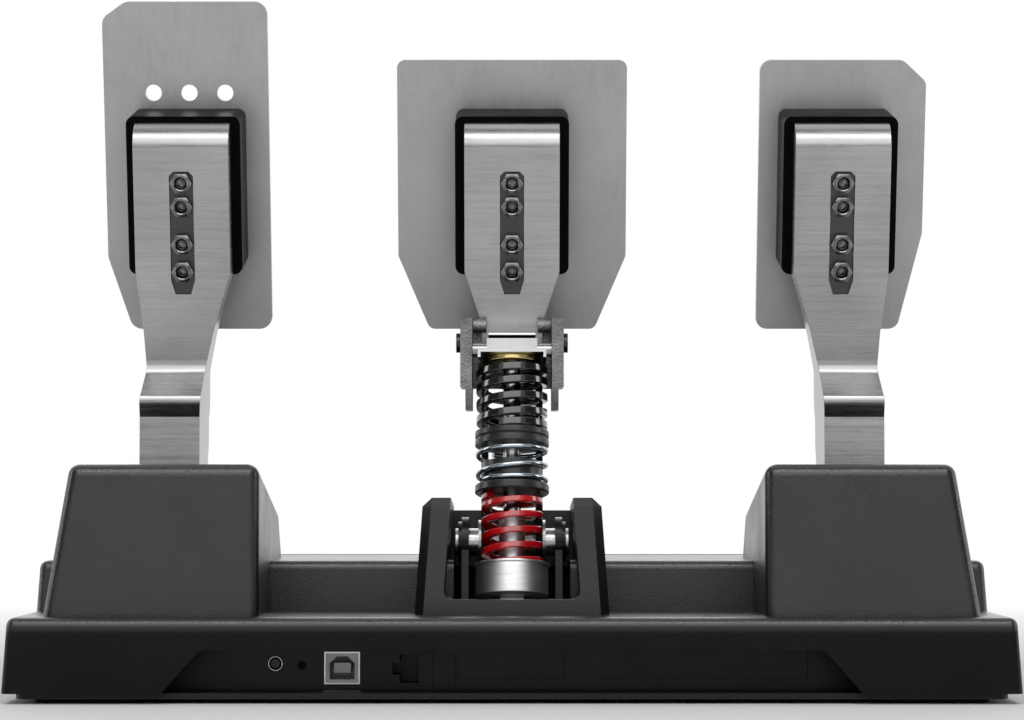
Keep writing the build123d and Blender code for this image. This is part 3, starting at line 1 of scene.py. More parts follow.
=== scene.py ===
import json
import math
import bmesh
import bpy
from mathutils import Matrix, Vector


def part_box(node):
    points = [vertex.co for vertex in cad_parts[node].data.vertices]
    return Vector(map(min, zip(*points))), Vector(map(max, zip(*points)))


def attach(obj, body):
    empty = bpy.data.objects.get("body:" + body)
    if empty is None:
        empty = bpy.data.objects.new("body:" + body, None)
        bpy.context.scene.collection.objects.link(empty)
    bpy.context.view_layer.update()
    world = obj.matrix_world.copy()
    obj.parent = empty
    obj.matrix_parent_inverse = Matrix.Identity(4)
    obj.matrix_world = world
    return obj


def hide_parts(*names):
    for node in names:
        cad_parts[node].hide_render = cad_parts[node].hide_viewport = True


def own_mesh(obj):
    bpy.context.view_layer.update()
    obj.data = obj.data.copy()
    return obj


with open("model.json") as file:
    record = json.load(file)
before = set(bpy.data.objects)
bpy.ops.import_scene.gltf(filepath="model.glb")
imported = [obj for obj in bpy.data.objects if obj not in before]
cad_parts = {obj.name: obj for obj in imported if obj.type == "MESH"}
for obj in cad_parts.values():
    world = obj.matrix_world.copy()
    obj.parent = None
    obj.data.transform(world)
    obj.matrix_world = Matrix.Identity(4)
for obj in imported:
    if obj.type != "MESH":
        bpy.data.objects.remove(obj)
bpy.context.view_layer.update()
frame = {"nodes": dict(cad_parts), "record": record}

NODES = frame["nodes"]
MM = 0.001

# Where the pedals and the spring stack stand, in millimetres, as in the part's source
PEDAL_X = {"throttle": 118, "brake": 0, "clutch": -118}
LEAN = math.radians(14)             # of the plates and of the levers' webs behind them
WEB = (60, 165)                     # y and z of the middle of a web's rear face
BOLT_U = (15.6, 7.1, -6.5, -16.4)   # the bolts' places up the web from there
NUT_SEAT = -1.2                     # from the web's face back to the floor of the nuts' pocket
STACK_LEAN = math.radians(11.3)
STACK_FOOT = Vector((0, 87, 25)) * MM
STACK_AXIS = Vector((0, -math.sin(STACK_LEAN), math.cos(STACK_LEAN)))


def add_object(name, data):
    """A new object, put in the scene."""
    made = bpy.data.objects.new(name, data)
    bpy.context.scene.collection.objects.link(made)
    return made


# Camera: behind the pedals, a little above the deck, looking slightly up
CAMERA_Y = 1.115
CAMERA_Z = 0.0705
FOCAL_PIXELS = 2960
IMAGE_WIDTH = 1024
SENSOR_WIDTH = 36
PITCH = math.radians(2.53)
camera_data = bpy.data.cameras.new("camera")
camera_data.sensor_width = SENSOR_WIDTH
camera_data.lens = SENSOR_WIDTH * FOCAL_PIXELS / IMAGE_WIDTH
camera_data.clip_start = 0.01
camera_data.clip_end = 100
camera = add_object("camera", camera_data)
camera.location = (0, CAMERA_Y, CAMERA_Z)
camera.rotation_euler = (math.radians(90) + PITCH, 0, math.radians(180))
bpy.context.scene.camera = camera


# Material helpers
class Nodes:
    """A node tree being built: makes nodes and joins them."""

    def __init__(self, tree):
        self.tree = tree
        self.tree.nodes.clear()

    def join(self, source, target):
        self.tree.links.new(source, target)

    def node(self, kind, inputs=None, **settings):
        """A node with its settings, and its inputs joined or set."""
        made = self.tree.nodes.new(kind)
        for key, value in settings.items():
            setattr(made, key, value)
        for key, value in (inputs or {}).items():
            if hasattr(value, "is_output"):
                self.join(value, made.inputs[key])
            else:
                made.inputs[key].default_value = value
        return made

    def maths(self, operation, *values):
        return self.node("ShaderNodeMath", dict(enumerate(values)), operation=operation).outputs[0]


class Shader(Nodes):
    """A node material being built, which feeds the Principled shader."""

    def __init__(self, name):
        self.material = bpy.data.materials.new(name)
        self.material.use_nodes = True
        super().__init__(self.material.node_tree)
        self.output = self.node("ShaderNodeOutputMaterial")
        self.bsdf = self.node("ShaderNodeBsdfPrincipled")
        self.join(self.bsdf.outputs[0], self.output.inputs[0])

    def set(self, **values):
        """Joins or sets inputs of the Principled shader, with _ for each space in a name."""
        for key, value in values.items():
            socket = self.bsdf.inputs[key.replace("_", " ")]
            if hasattr(value, "is_output"):
                self.join(value, socket)
            else:
                socket.default_value = value

    def place(self, scale=(1, 1, 1), rotation=(0, 0, 0)):
        where = self.node("ShaderNodeTexCoord").outputs["Object"]
        return self.node("ShaderNodeMapping",
                         {"Vector": where, "Scale": scale, "Rotation": rotation}).outputs[0]

    def noise(self, vector, scale, detail=3.0, roughness=0.55):
        return self.node("ShaderNodeTexNoise", {"Vector": vector, "Scale": scale, "Detail": detail,
                                                "Roughness": roughness}).outputs["Fac"]

    def cells(self, vector, scale):
        return self.node("ShaderNodeTexVoronoi",
                         {"Vector": vector, "Scale": scale}).outputs["Distance"]

    def spread(self, value, low, high, start=0.3, end=0.7):
        """The value's range from start to end, stretched from low to high."""
        return self.node("ShaderNodeMapRange", {"Value": value, "From Min": start, "From Max": end,
                                                "To Min": low, "To Max": high}).outputs[0]

    def shade(self, value, tones, start=0.3, end=0.7):
        """From the darker to the lighter of two colours as the value goes from start to end."""
        ramp = self.node("ShaderNodeValToRGB", {"Fac": value})
        for element, position, colour in zip(ramp.color_ramp.elements, (start, end), tones):
            element.position = position
            element.color = (*colour, 1)
        return ramp.outputs[0]

    def blend(self, share, under, level):
        """A grey level laid over a colour where the share is 1."""
        return self.node("ShaderNodeMixRGB",
                         {0: share, 1: under, 2: (level, level, level, 1)}).outputs[0]

    def bump(self, height, strength, distance):
        return self.node("ShaderNodeBump", {"Height": height, "Strength": strength,
                                            "Distance": distance}).outputs[0]


def grey(value):
    return (value, value, value * 1.01)


def tones(base, less, more):
    """The darker and the lighter colour that a finish wanders between."""
    return tuple(c * (1 - less) for c in base), tuple(c * (1 + more) for c in base)


# Metres above the floor where the shell's wall goes from dull to its full gloss
DULL_BELOW = 0.0235
GLOSS_ABOVE = 0.0262


def plastic(name, base, rough, grain, depth, specular, cloud=0.25, low_gloss=None):
    """Moulded plastic: fine grain, faint clouds in colour and gloss, and duller near the floor."""
    s = Shader(name)
    where = s.place()
    clouds = s.noise(where, 35, detail=4)
    fine = s.noise(where, grain * 1.7, detail=2)
    grains = s.maths("ADD", s.cells(where, grain), fine)
    s.set(Base_Color=s.shade(clouds, tones(base, cloud, cloud)),
          Roughness=s.spread(clouds, rough - 0.05, rough + 0.07),
          Normal=s.bump(grains, strength=0.5, distance=depth),
          Specular_IOR_Level=specular)
    if low_gloss is not None:
        height = s.node("ShaderNodeSeparateXYZ", {0: where}).outputs["Z"]
        s.set(Specular_IOR_Level=s.spread(height, low_gloss, specular, DULL_BELOW, GLOSS_ABOVE))
    return s.material


# The levers' painted shade, in the pocket behind the nuts and on the brake lever's foot: extents in
# millimetres, and the grey levels painted there
POCKET_HALF = 6
POCKET_TOP = 187
POCKET_BAND = 0.4
POCKET_SHADE_GREY = 0.07
# Painted shade on the brake lever's foot, behind the spring stack
SHADED_FOOT_HALF = 25
SHADED_FOOT_TOP = 113
SHADED_FOOT_GREY = 0.008


def pocket_shade_mask(s, where):
    """1 on the floor of the pocket behind the nuts, where shade is painted dark, 0 elsewhere on a
    lever.
    """
    parts = s.node("ShaderNodeSeparateXYZ", {0: where}).outputs
    # Half the pedals' pitch folds the three levers onto one
    off = s.maths("PINGPONG", parts["X"], PEDAL_X["throttle"] / 2 * MM)
    slim = s.maths("LESS_THAN", off, POCKET_HALF * MM)
    below = s.maths("LESS_THAN", parts["Z"], POCKET_TOP * MM)
    behind = s.node("ShaderNodeVectorMath", {0: where, 1: (0, math.cos(LEAN), -math.sin(LEAN))},
                    operation="DOT_PRODUCT").outputs["Value"]
    web = (WEB[0] * math.cos(LEAN) - WEB[1] * math.sin(LEAN)) * MM
    deep = s.maths("COMPARE", behind, web + NUT_SEAT * MM, POCKET_BAND * MM)
    return s.maths("MULTIPLY", s.maths("MULTIPLY", slim, below), deep)


def shaded_foot_mask(s, where):
    """1 on the brake lever's foot behind the spring stack, where shade is painted dark."""
    parts = s.node("ShaderNodeSeparateXYZ", {0: where}).outputs
    slim = s.maths("LESS_THAN", s.maths("ABSOLUTE", parts["X"]), SHADED_FOOT_HALF * MM)
    low = s.maths("LESS_THAN", parts["Z"], SHADED_FOOT_TOP * MM)
    return s.maths("MULTIPLY", slim, low)


# How much finer the scratches are across than along a brushed surface
STRETCH = {"x": (0.02, 1, 1), "y": (1, 0.02, 1), "z": (1, 1, 0.02)}


def brushed(name, base, rough, along, contrast, lean=0.0, depth=0.00002, coarse=420, lever=False):
    """Brushed metal: long fine scratches along one axis, in colour, gloss and bump."""
    s = Shader(name)
    where = s.place(STRETCH[along], (lean, 0, 0))
    still = s.place()
    scratches = s.noise(where, 5200, detail=2, roughness=0.7)
    bands = s.noise(where, coarse, detail=2, roughness=0.6)
    clouds = s.noise(still, 28)
    both = s.maths("ADD", scratches, bands)
    mixed = s.spread(s.maths("ADD", both, clouds), 0, 1, start=1.1, end=1.9)
    colour = s.shade(mixed, tones(base, contrast, contrast), start=0, end=1)
    if lever:
        # Painted shade: the pocket floor behind the nuts is laid over with dark grey
        colour = s.blend(pocket_shade_mask(s, still), colour, POCKET_SHADE_GREY)
        # Painted shade: the brake lever's foot behind the spring stack is laid over with near black
        colour = s.blend(shaded_foot_mask(s, still), colour, SHADED_FOOT_GREY)
    s.set(Base_Color=colour, Metallic=1.0,
          Roughness=s.spread(both, rough - 0.07, rough + 0.09, start=0.7, end=1.3),
          Normal=s.bump(scratches, strength=0.6, distance=depth))
    return s.material


def metal(name, base, rough):
    """Plain metal: faint blotches and a very fine surface."""
    s = Shader(name)
    where = s.place()
    clouds = s.noise(where, 90, detail=4)
    fine = s.noise(where, 2700)
    s.set(Base_Color=s.shade(clouds, tones(base, 0.12, 0.12)), Metallic=1.0,
          Roughness=s.spread(clouds, rough - 0.05, rough + 0.08),
          Normal=s.bump(fine, strength=0.4, distance=0.00001))
    return s.material


def cast(name, base, rough):
    """Fine cast metal: a pebbled skin with blotches of darker and lighter tone."""
    s = Shader(name)
    where = s.place()
    fine = s.noise(where, 3200)
    both = s.maths("ADD", s.cells(where, 1100), fine)
    clouds = s.noise(where, 120, detail=4)
    s.set(Base_Color=s.shade(clouds, tones(base, 0.28, 0.25), start=0.35, end=0.65), Metallic=1.0,
          Roughness=s.spread(fine, rough - 0.08, rough + 0.12),
          Normal=s.bump(both, strength=0.8, distance=0.0002))
    return s.material


def paint(name, base, rough):
    """Gloss paint on wire: a clear coat over an uneven colour."""
    s = Shader(name)
    where = s.place()
    clouds = s.noise(where, 220)
    s.set(Base_Color=s.shade(clouds, tones(base, 0.2, 0.2)),
          Roughness=s.spread(clouds, rough, rough + 0.1),
          Normal=s.bump(s.noise(where, 900, detail=2), strength=0.25, distance=0.00003),
          Coat_Weight=1.0, Coat_Roughness=0.04, Coat_IOR=1.65)
    return s.material


def turned(name, base, rough):
    """Lathe-turned metal: fine rings round the spring stack's axis."""
    s = Shader(name)
    rings = s.noise(s.place((0.03, 0.03, 1), (-STACK_LEAN, 0, 0)), 4200, detail=2, roughness=0.7)
    clouds = s.noise(s.place(), 60)
    s.set(Base_Color=s.shade(rings, tones(base, 0.15, 0.12)), Metallic=1.0,
          Roughness=s.spread(clouds, rough - 0.05, rough + 0.08),
          Normal=s.bump(rings, strength=0.5, distance=0.00002))
    return s.material


MATERIALS = {
    "black_shell": plastic("black_shell", grey(0.005), rough=0.3, grain=1500, depth=0.0001,
                           specular=0.8, cloud=0.3, low_gloss=0.14),
    "panel_black": plastic("panel_black", grey(0.004), rough=0.34, grain=2600, depth=0.00004,
                           specular=0.3),
    "footrest_black": plastic("footrest_black", grey(0.012), rough=0.45, grain=1600, depth=0.0001,
                              specular=0.4),
    "plate_paint": plastic("plate_paint", grey(0.008), rough=0.45, grain=1800, depth=0.00006,
                           specular=0.3),
    "foot_rubber": plastic("foot_rubber", grey(0.006), rough=0.75, grain=1400, depth=0.00008,
                           specular=0.15),
    "spacer_black": plastic("spacer_black", grey(0.001), rough=0.38, grain=2600, depth=0.00004,
                            specular=0.04),
    "insert_plastic": plastic("insert_plastic", grey(0.75), rough=0.4, grain=4000, depth=0.00002,
                              specular=0.4, cloud=0.1),
    "button_plastic": plastic("button_plastic", grey(0.006), rough=0.2, grain=5000, depth=0.00001,
                              specular=0.4),
    "led_plastic": plastic("led_plastic", grey(0.002), rough=0.3, grain=5000, depth=0.00001,
                           specular=0.06),
    "board_resin": plastic("board_resin", (0.008, 0.07, 0.02), rough=0.3, grain=3000,
                           depth=0.00002, specular=0.5),
    "washer_black": plastic("washer_black", grey(0.02), rough=0.3, grain=3600, depth=0.00002,
                            specular=0.5),
    "lead_black": plastic("lead_black", grey(0.02), rough=0.5, grain=4000, depth=0.00002,
                          specular=0.4),
    "screw_steel": metal("screw_steel", grey(0.05), rough=0.35),
    "socket_steel": metal("socket_steel", grey(0.62), rough=0.22),
    "bracket_steel": brushed("bracket_steel", grey(0.03), rough=0.3, along="y", contrast=0.12),
    "axle_steel": metal("axle_steel", grey(0.6), rough=0.28),
    "arm_steel": brushed("arm_steel", grey(0.37), rough=0.29, along="x", contrast=0.2, coarse=900,
                         lever=True),
    "bush_steel": metal("bush_steel", grey(0.5), rough=0.3),
    "magnet_nickel": metal("magnet_nickel", grey(0.6), rough=0.15),
    "plate_steel": brushed("plate_steel", grey(0.4), rough=0.42, along="z", contrast=0.14,
                           lean=LEAN, depth=0.00001),
    "bolt_steel": metal("bolt_steel", grey(0.2), rough=0.2),
    "yoke_metal": cast("yoke_metal", grey(0.21), rough=0.32),
    "yoke_bolt_steel": metal("yoke_bolt_steel", grey(0.06), rough=0.3),
    "cup_aluminium": turned("cup_aluminium", grey(0.8), rough=0.4),
    "red_paint": paint("red_paint", (0.5, 0.003, 0.006), rough=0.18),
    "zinc_wire": metal("zinc_wire", (0.5, 0.56, 0.6), rough=0.14),
    "black_paint": paint("black_paint", grey(0.003), rough=0.12),
    "brass": turned("brass", (0.62, 0.5, 0.22), rough=0.22),
    "rod_chrome": metal("rod_chrome", grey(0.34), rough=0.14),
    "cell_aluminium": brushed("cell_aluminium", grey(0.5), rough=0.3, along="y", contrast=0.1),
}
SLOT_OF = {part["node"]: part["material_slot"] for part in frame["record"]["subparts"]}
BODY_OF = {node: body for body, members in frame["record"]["behaviour"]["bodies"].items()
           for node in members}
for node, thing in NODES.items():
    thing.data.materials.clear()
    thing.data.materials.append(MATERIALS[SLOT_OF[node]])


# Mesh helpers
def piece(name, mesh, node, smooth=30):
    """Makes an object of a mesh with the finish and the body of a CAD node, and smooths it."""
    made = add_object(name, mesh)
    mesh.materials.clear()
    mesh.materials.append(MATERIALS[SLOT_OF[node]])
    mesh.shade_smooth()
    mesh.set_sharp_from_angle(angle=math.radians(smooth))
    flatten = made.modifiers.new("flat_faces", "WEIGHTED_NORMAL")
    flatten.keep_sharp = True
    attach(made, BODY_OF[node])
    return made


def to_mesh(made, name):
    mesh = bpy.data.meshes.new(name)
    made.to_mesh(mesh)
    made.free()
    return mesh


def finish_mesh(made, name):
    """A mesh of closed surfaces, with every face turned outwards."""
    bmesh.ops.recalc_face_normals(made, faces=made.faces)
    return to_mesh(made, name)


SAME_POINT = 0.000002
FLAT_ANGLE = math.radians(1.5)
EDGE_ANGLE = math.radians(28)


def softened(node, width, segments=2):
    """The CAD node again with its edges rounded, in its place."""
    made = bmesh.new()
    made.from_mesh(NODES[node].data)
    bmesh.ops.remove_doubles(made, verts=made.verts, dist=SAME_POINT)
    bmesh.ops.dissolve_limit(made, angle_limit=FLAT_ANGLE, verts=made.verts, edges=made.edges)
    sharp = [e for e in made.edges if len(e.link_faces) == 2 and e.calc_face_angle(0) > EDGE_ANGLE]
    bmesh.ops.bevel(made, geom=sharp, offset=width * MM, segments=segments, profile=0.5,
                    affect="EDGES", clamp_overlap=True)
    done = piece(node + "_soft", to_mesh(made, node + "_soft"), node)
    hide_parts(node)


def skin(made, rings, closed=False):
    """Adds a surface through rings of points, capped at both ends or closed on itself."""
    pairs = list(zip(rings[:-1], rings[1:]))
    if closed:
        pairs.append((rings[-1], rings[0]))
    size = len(rings[0])
    for lower, upper in pairs:
        for k in range(size):
            after = (k + 1) % size
            made.faces.new((lower[k], lower[after], upper[after], upper[k]))
    if not closed:
        made.faces.new(reversed(rings[0]))
        made.faces.new(rings[-1])


def tube_mesh(name, rings, place):
    """A closed mesh through rings of points, each point put where place says."""
    made = bmesh.new()
    skin(made, [[made.verts.new(place(*p)) for p in ring] for ring in rings])
    return finish_mesh(made, name)


def stack_point(x, y, t):
    """A point beside the spring stack's axis, t millimetres above the cup's pivot."""
    across = Vector((0, math.cos(STACK_LEAN), math.sin(STACK_LEAN)))
    return STACK_FOOT + Vector((x, 0, 0)) * MM + across * y * MM + STACK_AXIS * t * MM


# The ends of a coil, in turns: flat up to here, and how the climb begins round that place
FLAT_TURNS = 0.85
CLIMB_BEFORE = 0.35
CLIMB_OVER = 0.5
FLAT_PITCH = 1.04   # of the flat turns, as a share of the wire's height


def helix(turns, low, high, radius, section, steps, start=0.0):
    """Rings of points of one coil spring with closed, flat ends, along +Z in millimetres."""
    axial = max(p[1] for p in section) - min(p[1] for p in section)
    count = int(turns * steps)
    close = axial * FLAT_PITCH
    rates = []
    for i in range(count):
        at = (i + 0.5) / steps
        edge = min(at, turns - at)
        share = min(1, max(0, (edge - FLAT_TURNS + CLIMB_BEFORE) / CLIMB_OVER))
        rates.append(share * share * (3 - 2 * share))
    free = (high - low - axial) - close * turns
    weight = sum(rates) / steps
    height = low + axial / 2
    rings = []
    for i in range(count + 1):
        angle = start + 2 * math.pi * i / steps
        rings.append([((radius + r) * math.cos(angle), (radius + r) * math.sin(angle), height + z)
                      for r, z in section])
        if i < count:
            height += (close + free * rates[i] / weight) / steps
    return rings


WIRE_CORNER = 0.45
CORNER_STEPS = 3


def flat_wire(radial, axial):
    """The rounded rectangle of a flat spring wire."""
    points = []
    for sx, sz, begin in ((1, 1, 0), (-1, 1, 90), (-1, -1, 180), (1, -1, 270)):
        for i in range(CORNER_STEPS + 1):
            a = math.radians(begin + 90 * i / CORNER_STEPS)
            points.append((sx * (radial / 2 - WIRE_CORNER) + WIRE_CORNER * math.cos(a),
                           sz * (axial / 2 - WIRE_CORNER) + WIRE_CORNER * math.sin(a)))
    return points


def round_wire(diameter, steps=14):
    angles = [2 * math.pi * i / steps for i in range(steps)]
    return [(diameter / 2 * math.cos(a), diameter / 2 * math.sin(a)) for a in angles]


# The three coils of the brake: node, turns, lowest and highest point above the cup's pivot,
# mean radius, wire, travel at the brake's limit, angle of the first end
COIL_STEPS = 48
COIL_SMOOTH = 50
COILS = (
    ("red_spring", 6.75, 11.15, 45.05, 9.2, flat_wire(3.2, 2.2), 1.94, 2.2),
    ("zinc_spring", 2.75, 48.45, 62.05, 11.9, round_wire(1.8), 2.9, 0.6),
    ("black_spring", 4.5, 67.45, 91.25, 11, flat_wire(3.2, 2.7), 1.61, 1.2),
)
for node, turns, low, high, radius, section, travel, start in COILS:
    rings = helix(turns, low, high, radius, section, COIL_STEPS, start)
    coil = piece(node + "_wire", tube_mesh(node + "_wire", rings, stack_point), node, COIL_SMOOTH)
    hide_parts(node)
    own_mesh(coil)

# The two return springs of the outer pedals, lying along +Y
RETURN_X = 122.75
RETURN_LOW = 6.7
RETURN_HIGH = 39.8
RETURN_Z = 22
RETURN_TURNS = 7
RETURN_RADIUS = 5
RETURN_STEPS = 32


def return_point(side):
    """A function that puts a point round a return spring's axis."""
    return lambda x, y, t: Vector((side * RETURN_X + x, t, RETURN_Z + y)) * MM


for side, joint, node in ((1, "throttle_hinge", "throttle_return_spring"),
                          (-1, "clutch_hinge", "clutch_return_spring")):
    rings = helix(RETURN_TURNS, RETURN_LOW, RETURN_HIGH, RETURN_RADIUS, round_wire(1.6, 10),
                  RETURN_STEPS)
    mesh = tube_mesh(node + "_wire", rings, return_point(side))
    coil = piece(node + "_wire", mesh, node, COIL_SMOOTH)
    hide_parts(node)
    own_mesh(coil)


# Lock nuts and bolts, made as rings round each bolt's axis
LATHE_STEPS = 48


def on_pedal(centre, u, n):
    """A function that puts a point round a bolt's axis: n millimetres behind the pedal's web."""
    up = Vector((0, math.sin(LEAN), math.cos(LEAN)))
    back = Vector((0, math.cos(LEAN), -math.sin(LEAN)))
    foot = Vector((centre, WEB[0], WEB[1])) + up * u + back * n
    return lambda x, y, t: (foot + Vector((x, 0, 0)) + up * y + back * t) * MM


def hex_radius(flats, angle):
    """From the middle of a hexagon to its edge, at an angle."""
    turn = math.radians(60)
    return flats / 2 / math.cos(angle % turn - turn / 2)


def lathe(made, rows, place, closed=False):
    """Adds a surface through rings, from rows of a radius and a height.

    Either can be a function of the angle instead.
    """
    rings = []
    for radius, height in rows:
        ring = []
        for i in range(LATHE_STEPS):
            a = 2 * math.pi * i / LATHE_STEPS
            r = radius(a) if callable(radius) else radius
            h = height(a) if callable(height) else height
            ring.append(made.verts.new(place(r * math.cos(a), r * math.sin(a), h)))
        rings.append(ring)
    skin(made, rings, closed)


THREAD_R = 2.0

NUT_HEIGHT = 4.0
NUT_FLATS = 7.0
NUT_SLOPE = 0.6         # how far the hexagon's corners fall away, against how far they stand out
NUT_SHOULDER = 0.75     # from the hexagon's top to the collar's
NUT_THREADS = 6
NUT_PITCH = 0.6


def nut_rows():
    """A lock nut: chamfered hexagon, rounded collar and threaded bore."""
    def flat(a):
        return hex_radius(NUT_FLATS, a) - 0.05

    def foot(a):
        return (hex_radius(NUT_FLATS, a) - NUT_FLATS / 2) * NUT_SLOPE

    def shoulder(a):
        return NUT_HEIGHT - NUT_SHOULDER - foot(a)

    rows = [(NUT_FLATS / 2 - 0.15, 0.0), (flat, foot), (flat, shoulder), (3.02, NUT_HEIGHT - 0.6),
            (2.98, NUT_HEIGHT - 0.25), (2.8, NUT_HEIGHT - 0.03), (2.55, NUT_HEIGHT),
            (2.25, NUT_HEIGHT - 0.15)]
    for i in range(NUT_THREADS):
        rows.append((THREAD_R + 0.08, NUT_HEIGHT - 0.4 - NUT_PITCH * i))
        rows.append((THREAD_R + 0.2, NUT_HEIGHT - 0.65 - NUT_PITCH * i))
    rows.append((THREAD_R + 0.08, 0.0))
    return rows


HEAD_R = 3.8
HEAD_HEIGHT = 2.2
HEAD_RIM = 0.3
HEAD_FLAT_R = 2.0
DOME_STEPS = 8
SOCKET_FLATS = 2.5
SOCKET_DEPTH = 1.2
THREAD_LENGTH = 9.0
THREAD_RUNOUT = 0.8
BOLT_PITCH = 0.5


def bolt_rows(end):
    """A button-head bolt: domed head at the bottom, thread and a hollow end at the top."""
    def socket(a):
        return hex_radius(SOCKET_FLATS, a)

    head = -HEAD_HEIGHT
    rows = [(0.05, head + SOCKET_DEPTH), (socket, head + SOCKET_DEPTH), (socket, head),
            (HEAD_FLAT_R, head)]
    for i in range(1, DOME_STEPS):
        a = math.radians(90 * i / DOME_STEPS)
        rows.append((HEAD_FLAT_R + (HEAD_R - HEAD_FLAT_R) * math.sin(a),
                     head + (HEAD_HEIGHT - HEAD_RIM) * (1 - math.cos(a))))
    thread = end - THREAD_LENGTH
    rows += [(HEAD_R, -HEAD_RIM), (HEAD_R - 0.05, 0.0), (THREAD_R, 0.0), (THREAD_R, thread)]
    for i in range(int((THREAD_LENGTH - THREAD_RUNOUT) / BOLT_PITCH)):
        rows.append((THREAD_R - 0.22, thread + BOLT_PITCH * (i + 0.5)))
        rows.append((THREAD_R - 0.01, thread + BOLT_PITCH * (i + 1)))
    rows += [(THREAD_R - 0.1, end - 0.5), (THREAD_R - 0.35, end - 0.1), (THREAD_R - 0.5, end),
             (1.42, end), (1.36, end - 0.1), (1.3, end - 3.4), (0.1, end - 3.8)]
    return rows


PLATE_FACE = -37.0      # from the web's face back to the plate's front, where the heads sit
BELOW_NUT = (1.2, 2.2)  # how far the bolts end below their nuts' tops, by turns
for pedal, centre in PEDAL_X.items():
    nuts = bmesh.new()
    bolts = bmesh.new()
    for i, u in enumerate(BOLT_U):
        lathe(nuts, nut_rows(), on_pedal(centre, u, NUT_SEAT), closed=True)
        tip = NUT_SEAT + NUT_HEIGHT - BELOW_NUT[i % 2]
        lathe(bolts, bolt_rows(tip - PLATE_FACE), on_pedal(centre, u, PLATE_FACE))
    nut_name = pedal + "_lock_nuts"
    nut_piece = piece(nut_name, finish_mesh(nuts, nut_name), pedal + "_nuts")
    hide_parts(pedal + "_nuts")
    bolt_name = pedal + "_button_bolts"
    bolt_piece = piece(bolt_name, finish_mesh(bolts, bolt_name), pedal + "_bolts")
    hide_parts(pedal + "_bolts")


# The bright rim of the button, in millimetres from the button's edge and behind its face
RIM_PROFILE = ((-0.45, 0.02), (-0.4, -0.12), (-0.2, -0.16), (-0.08, -0.05), (-0.1, 0.02))
BUTTON_LOW, BUTTON_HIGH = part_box("push_button")
button_x = (BUTTON_LOW[0] + BUTTON_HIGH[0]) / 2
button_z = (BUTTON_LOW[2] + BUTTON_HIGH[2]) / 2
button_r = (BUTTON_HIGH[2] - BUTTON_LOW[2]) / 2 / MM


def button_point(x, y, t):
    """A point round the button's axis, t millimetres below its face."""
    return Vector((button_x + x * MM, BUTTON_HIGH[1] - t * MM, button_z + y * MM))


rim = bmesh.new()
lathe(rim, [(button_r + r, h) for r, h in RIM_PROFILE], button_point, closed=True)
rim_piece = piece("button_rim", finish_mesh(rim, "button_rim"), "push_button")
rim_piece.data.materials[0] = MATERIALS["socket_steel"]

# Bent and cut metal with its edges rounded, widths in millimetres
for pedal in PEDAL_X:
    softened(pedal + "_arm", width=1.3, segments=3)
    softened(pedal + "_plate", width=0.35)
    softened(pedal + "_spacer", width=0.8)
softened("brake_yoke", width=0.9, segments=3)
for node in ("spring_cup", "brake_rod", "brass_seat"):
    softened(node, width=0.25)
for node in ("upper_washer", "lower_washer"):
    softened(node, width=0.3)


# Floor and backdrop: pale, white to the camera far away, with the object's shadow near it
FLOOR_HALF = 12
SHADOW_TO = 0.22
WHITE_FROM = 0.75
WHITE = (1, 1, 1, 1)


def floor_material():
    """A pale matt floor that glows white to the camera and in reflections, away from the object."""
    s = Shader("floor")
    s.set(Base_Color=(0.82, 0.82, 0.82, 1), Roughness=0.9, Specular_IOR_Level=0.1)
    glow = s.node("ShaderNodeEmission", {"Color": WHITE, "Strength": 1.0})
    where = s.node("ShaderNodeTexCoord").outputs["Object"]
    far = s.node("ShaderNodeVectorMath", {0: where}, operation="LENGTH").outputs["Value"]
    share = s.spread(far, 0, 1, SHADOW_TO, WHITE_FROM)
    path = s.node("ShaderNodeLightPath").outputs
    seen = s.maths("MAXIMUM", path["Is Camera Ray"], path["Is Glossy Ray"])
    mix = s.node("ShaderNodeMixShader", {0: s.maths("MULTIPLY", share, seen),
                                         1: s.bsdf.outputs[0], 2: glow.outputs[0]})
    s.join(mix.outputs[0], s.output.inputs[0])
    return s.material


def sheet(name, corners, material):
    """One four-cornered face of the studio."""
    mesh = bpy.data.meshes.new(name)
    mesh.from_pydata(corners, [], [(0, 1, 2, 3)])
    mesh.materials.append(material)
    return add_object(name, mesh)


floor = sheet("floor", [(-FLOOR_HALF, -FLOOR_HALF, 0), (FLOOR_HALF, -FLOOR_HALF, 0),
                        (FLOOR_HALF, FLOOR_HALF, 0), (-FLOOR_HALF, FLOOR_HALF, 0)],
              floor_material())

# Soft studio light: a backdrop that is white to the camera, soft boxes, and grey cards
WORLD_FILL = 0.3
world = bpy.data.worlds.new("studio")
bpy.context.scene.world = world
world.use_nodes = True
sky = Nodes(world.node_tree)
path = sky.node("ShaderNodeLightPath").outputs
seen = sky.maths("MAXIMUM", path["Is Camera Ray"], path["Is Glossy Ray"])
seen = sky.maths("MAXIMUM", seen, path["Is Transmission Ray"])
level = sky.node("ShaderNodeMapRange", {"Value": seen, "To Min": WORLD_FILL, "To Max": 1.0})
world_light = sky.node("ShaderNodeBackground", {"Color": WHITE, "Strength": level.outputs[0]})
sky.node("ShaderNodeOutputWorld", {"Surface": world_light.outputs[0]})


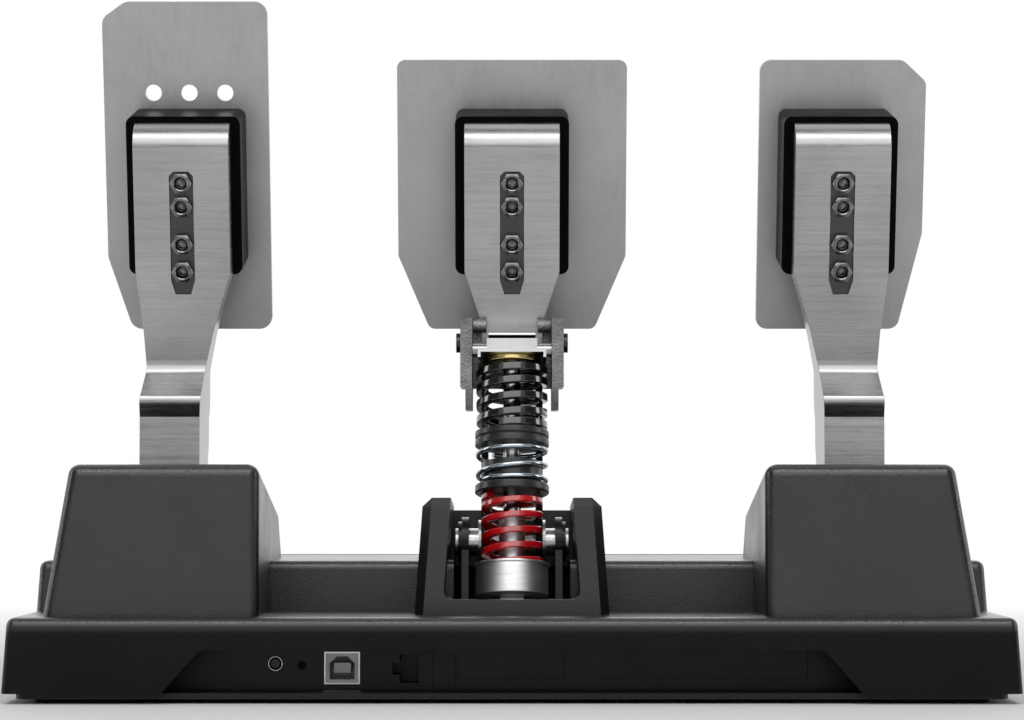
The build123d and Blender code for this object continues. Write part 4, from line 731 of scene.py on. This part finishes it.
def softbox(name, place, aim, size, radiance):
    """An area light at a place, turned to a point."""
    data = bpy.data.lights.new(name, "AREA")
    data.shape = "RECTANGLE"
    data.size, data.size_y = size
    data.energy = radiance * math.pi * size[0] * size[1]
    lamp = add_object(name, data)
    lamp.location = place
    lamp.rotation_euler = (Vector(place) - Vector(aim)).to_track_quat("Z", "Y").to_euler()
    lamp.visible_camera = False


softbox("top_box", (0, 0.95, 1.25), aim=(0, 0.2, 0.05), size=(1.5, 0.45), radiance=4.2)
softbox("left_strip", (1.25, -0.02, 0.4), aim=(0, 0, 0.12), size=(0.3, 0.8), radiance=3.2)
softbox("right_strip", (-1.25, -0.02, 0.4), aim=(0, 0, 0.12), size=(0.3, 0.8), radiance=3.2)
softbox("rear_box", (0, 1.75, 0.95), aim=(0, 0, 0.12), size=(1.9, 0.85), radiance=1.5)
softbox("front_box", (0, -1.3, 0.8), aim=(0, 0, 0.1), size=(1.6, 0.8), radiance=1.3)


def flag(name, corners, level):
    """A grey card of the studio, which only reflections see."""
    s = Shader(name)
    s.set(Base_Color=(0, 0, 0, 1), Roughness=1.0, Specular_IOR_Level=0.0,
          Emission_Color=WHITE, Emission_Strength=level)
    card = sheet(name, corners, s.material)
    card.visible_camera = card.visible_diffuse = False
    card.visible_transmission = card.visible_shadow = False


FAR = 2.6
NEAR = -0.9
OVERHEAD = 0.1
flag("rear_flag", [(-FAR, FAR, 0), (FAR, FAR, 0), (FAR, FAR, FAR), (-FAR, FAR, FAR)], 0.5)
flag("left_flag", [(FAR, NEAR, 0), (FAR, FAR, 0), (FAR, FAR, FAR), (FAR, NEAR, FAR)], 0.1)
flag("right_flag", [(-FAR, NEAR, 0), (-FAR, FAR, 0), (-FAR, FAR, FAR), (-FAR, NEAR, FAR)], 0.1)
flag("top_flag", [(-FAR, OVERHEAD, FAR), (FAR, OVERHEAD, FAR), (FAR, FAR, FAR), (-FAR, FAR, FAR)],
     0.3)

bpy.context.scene.view_settings.view_transform = "Standard"
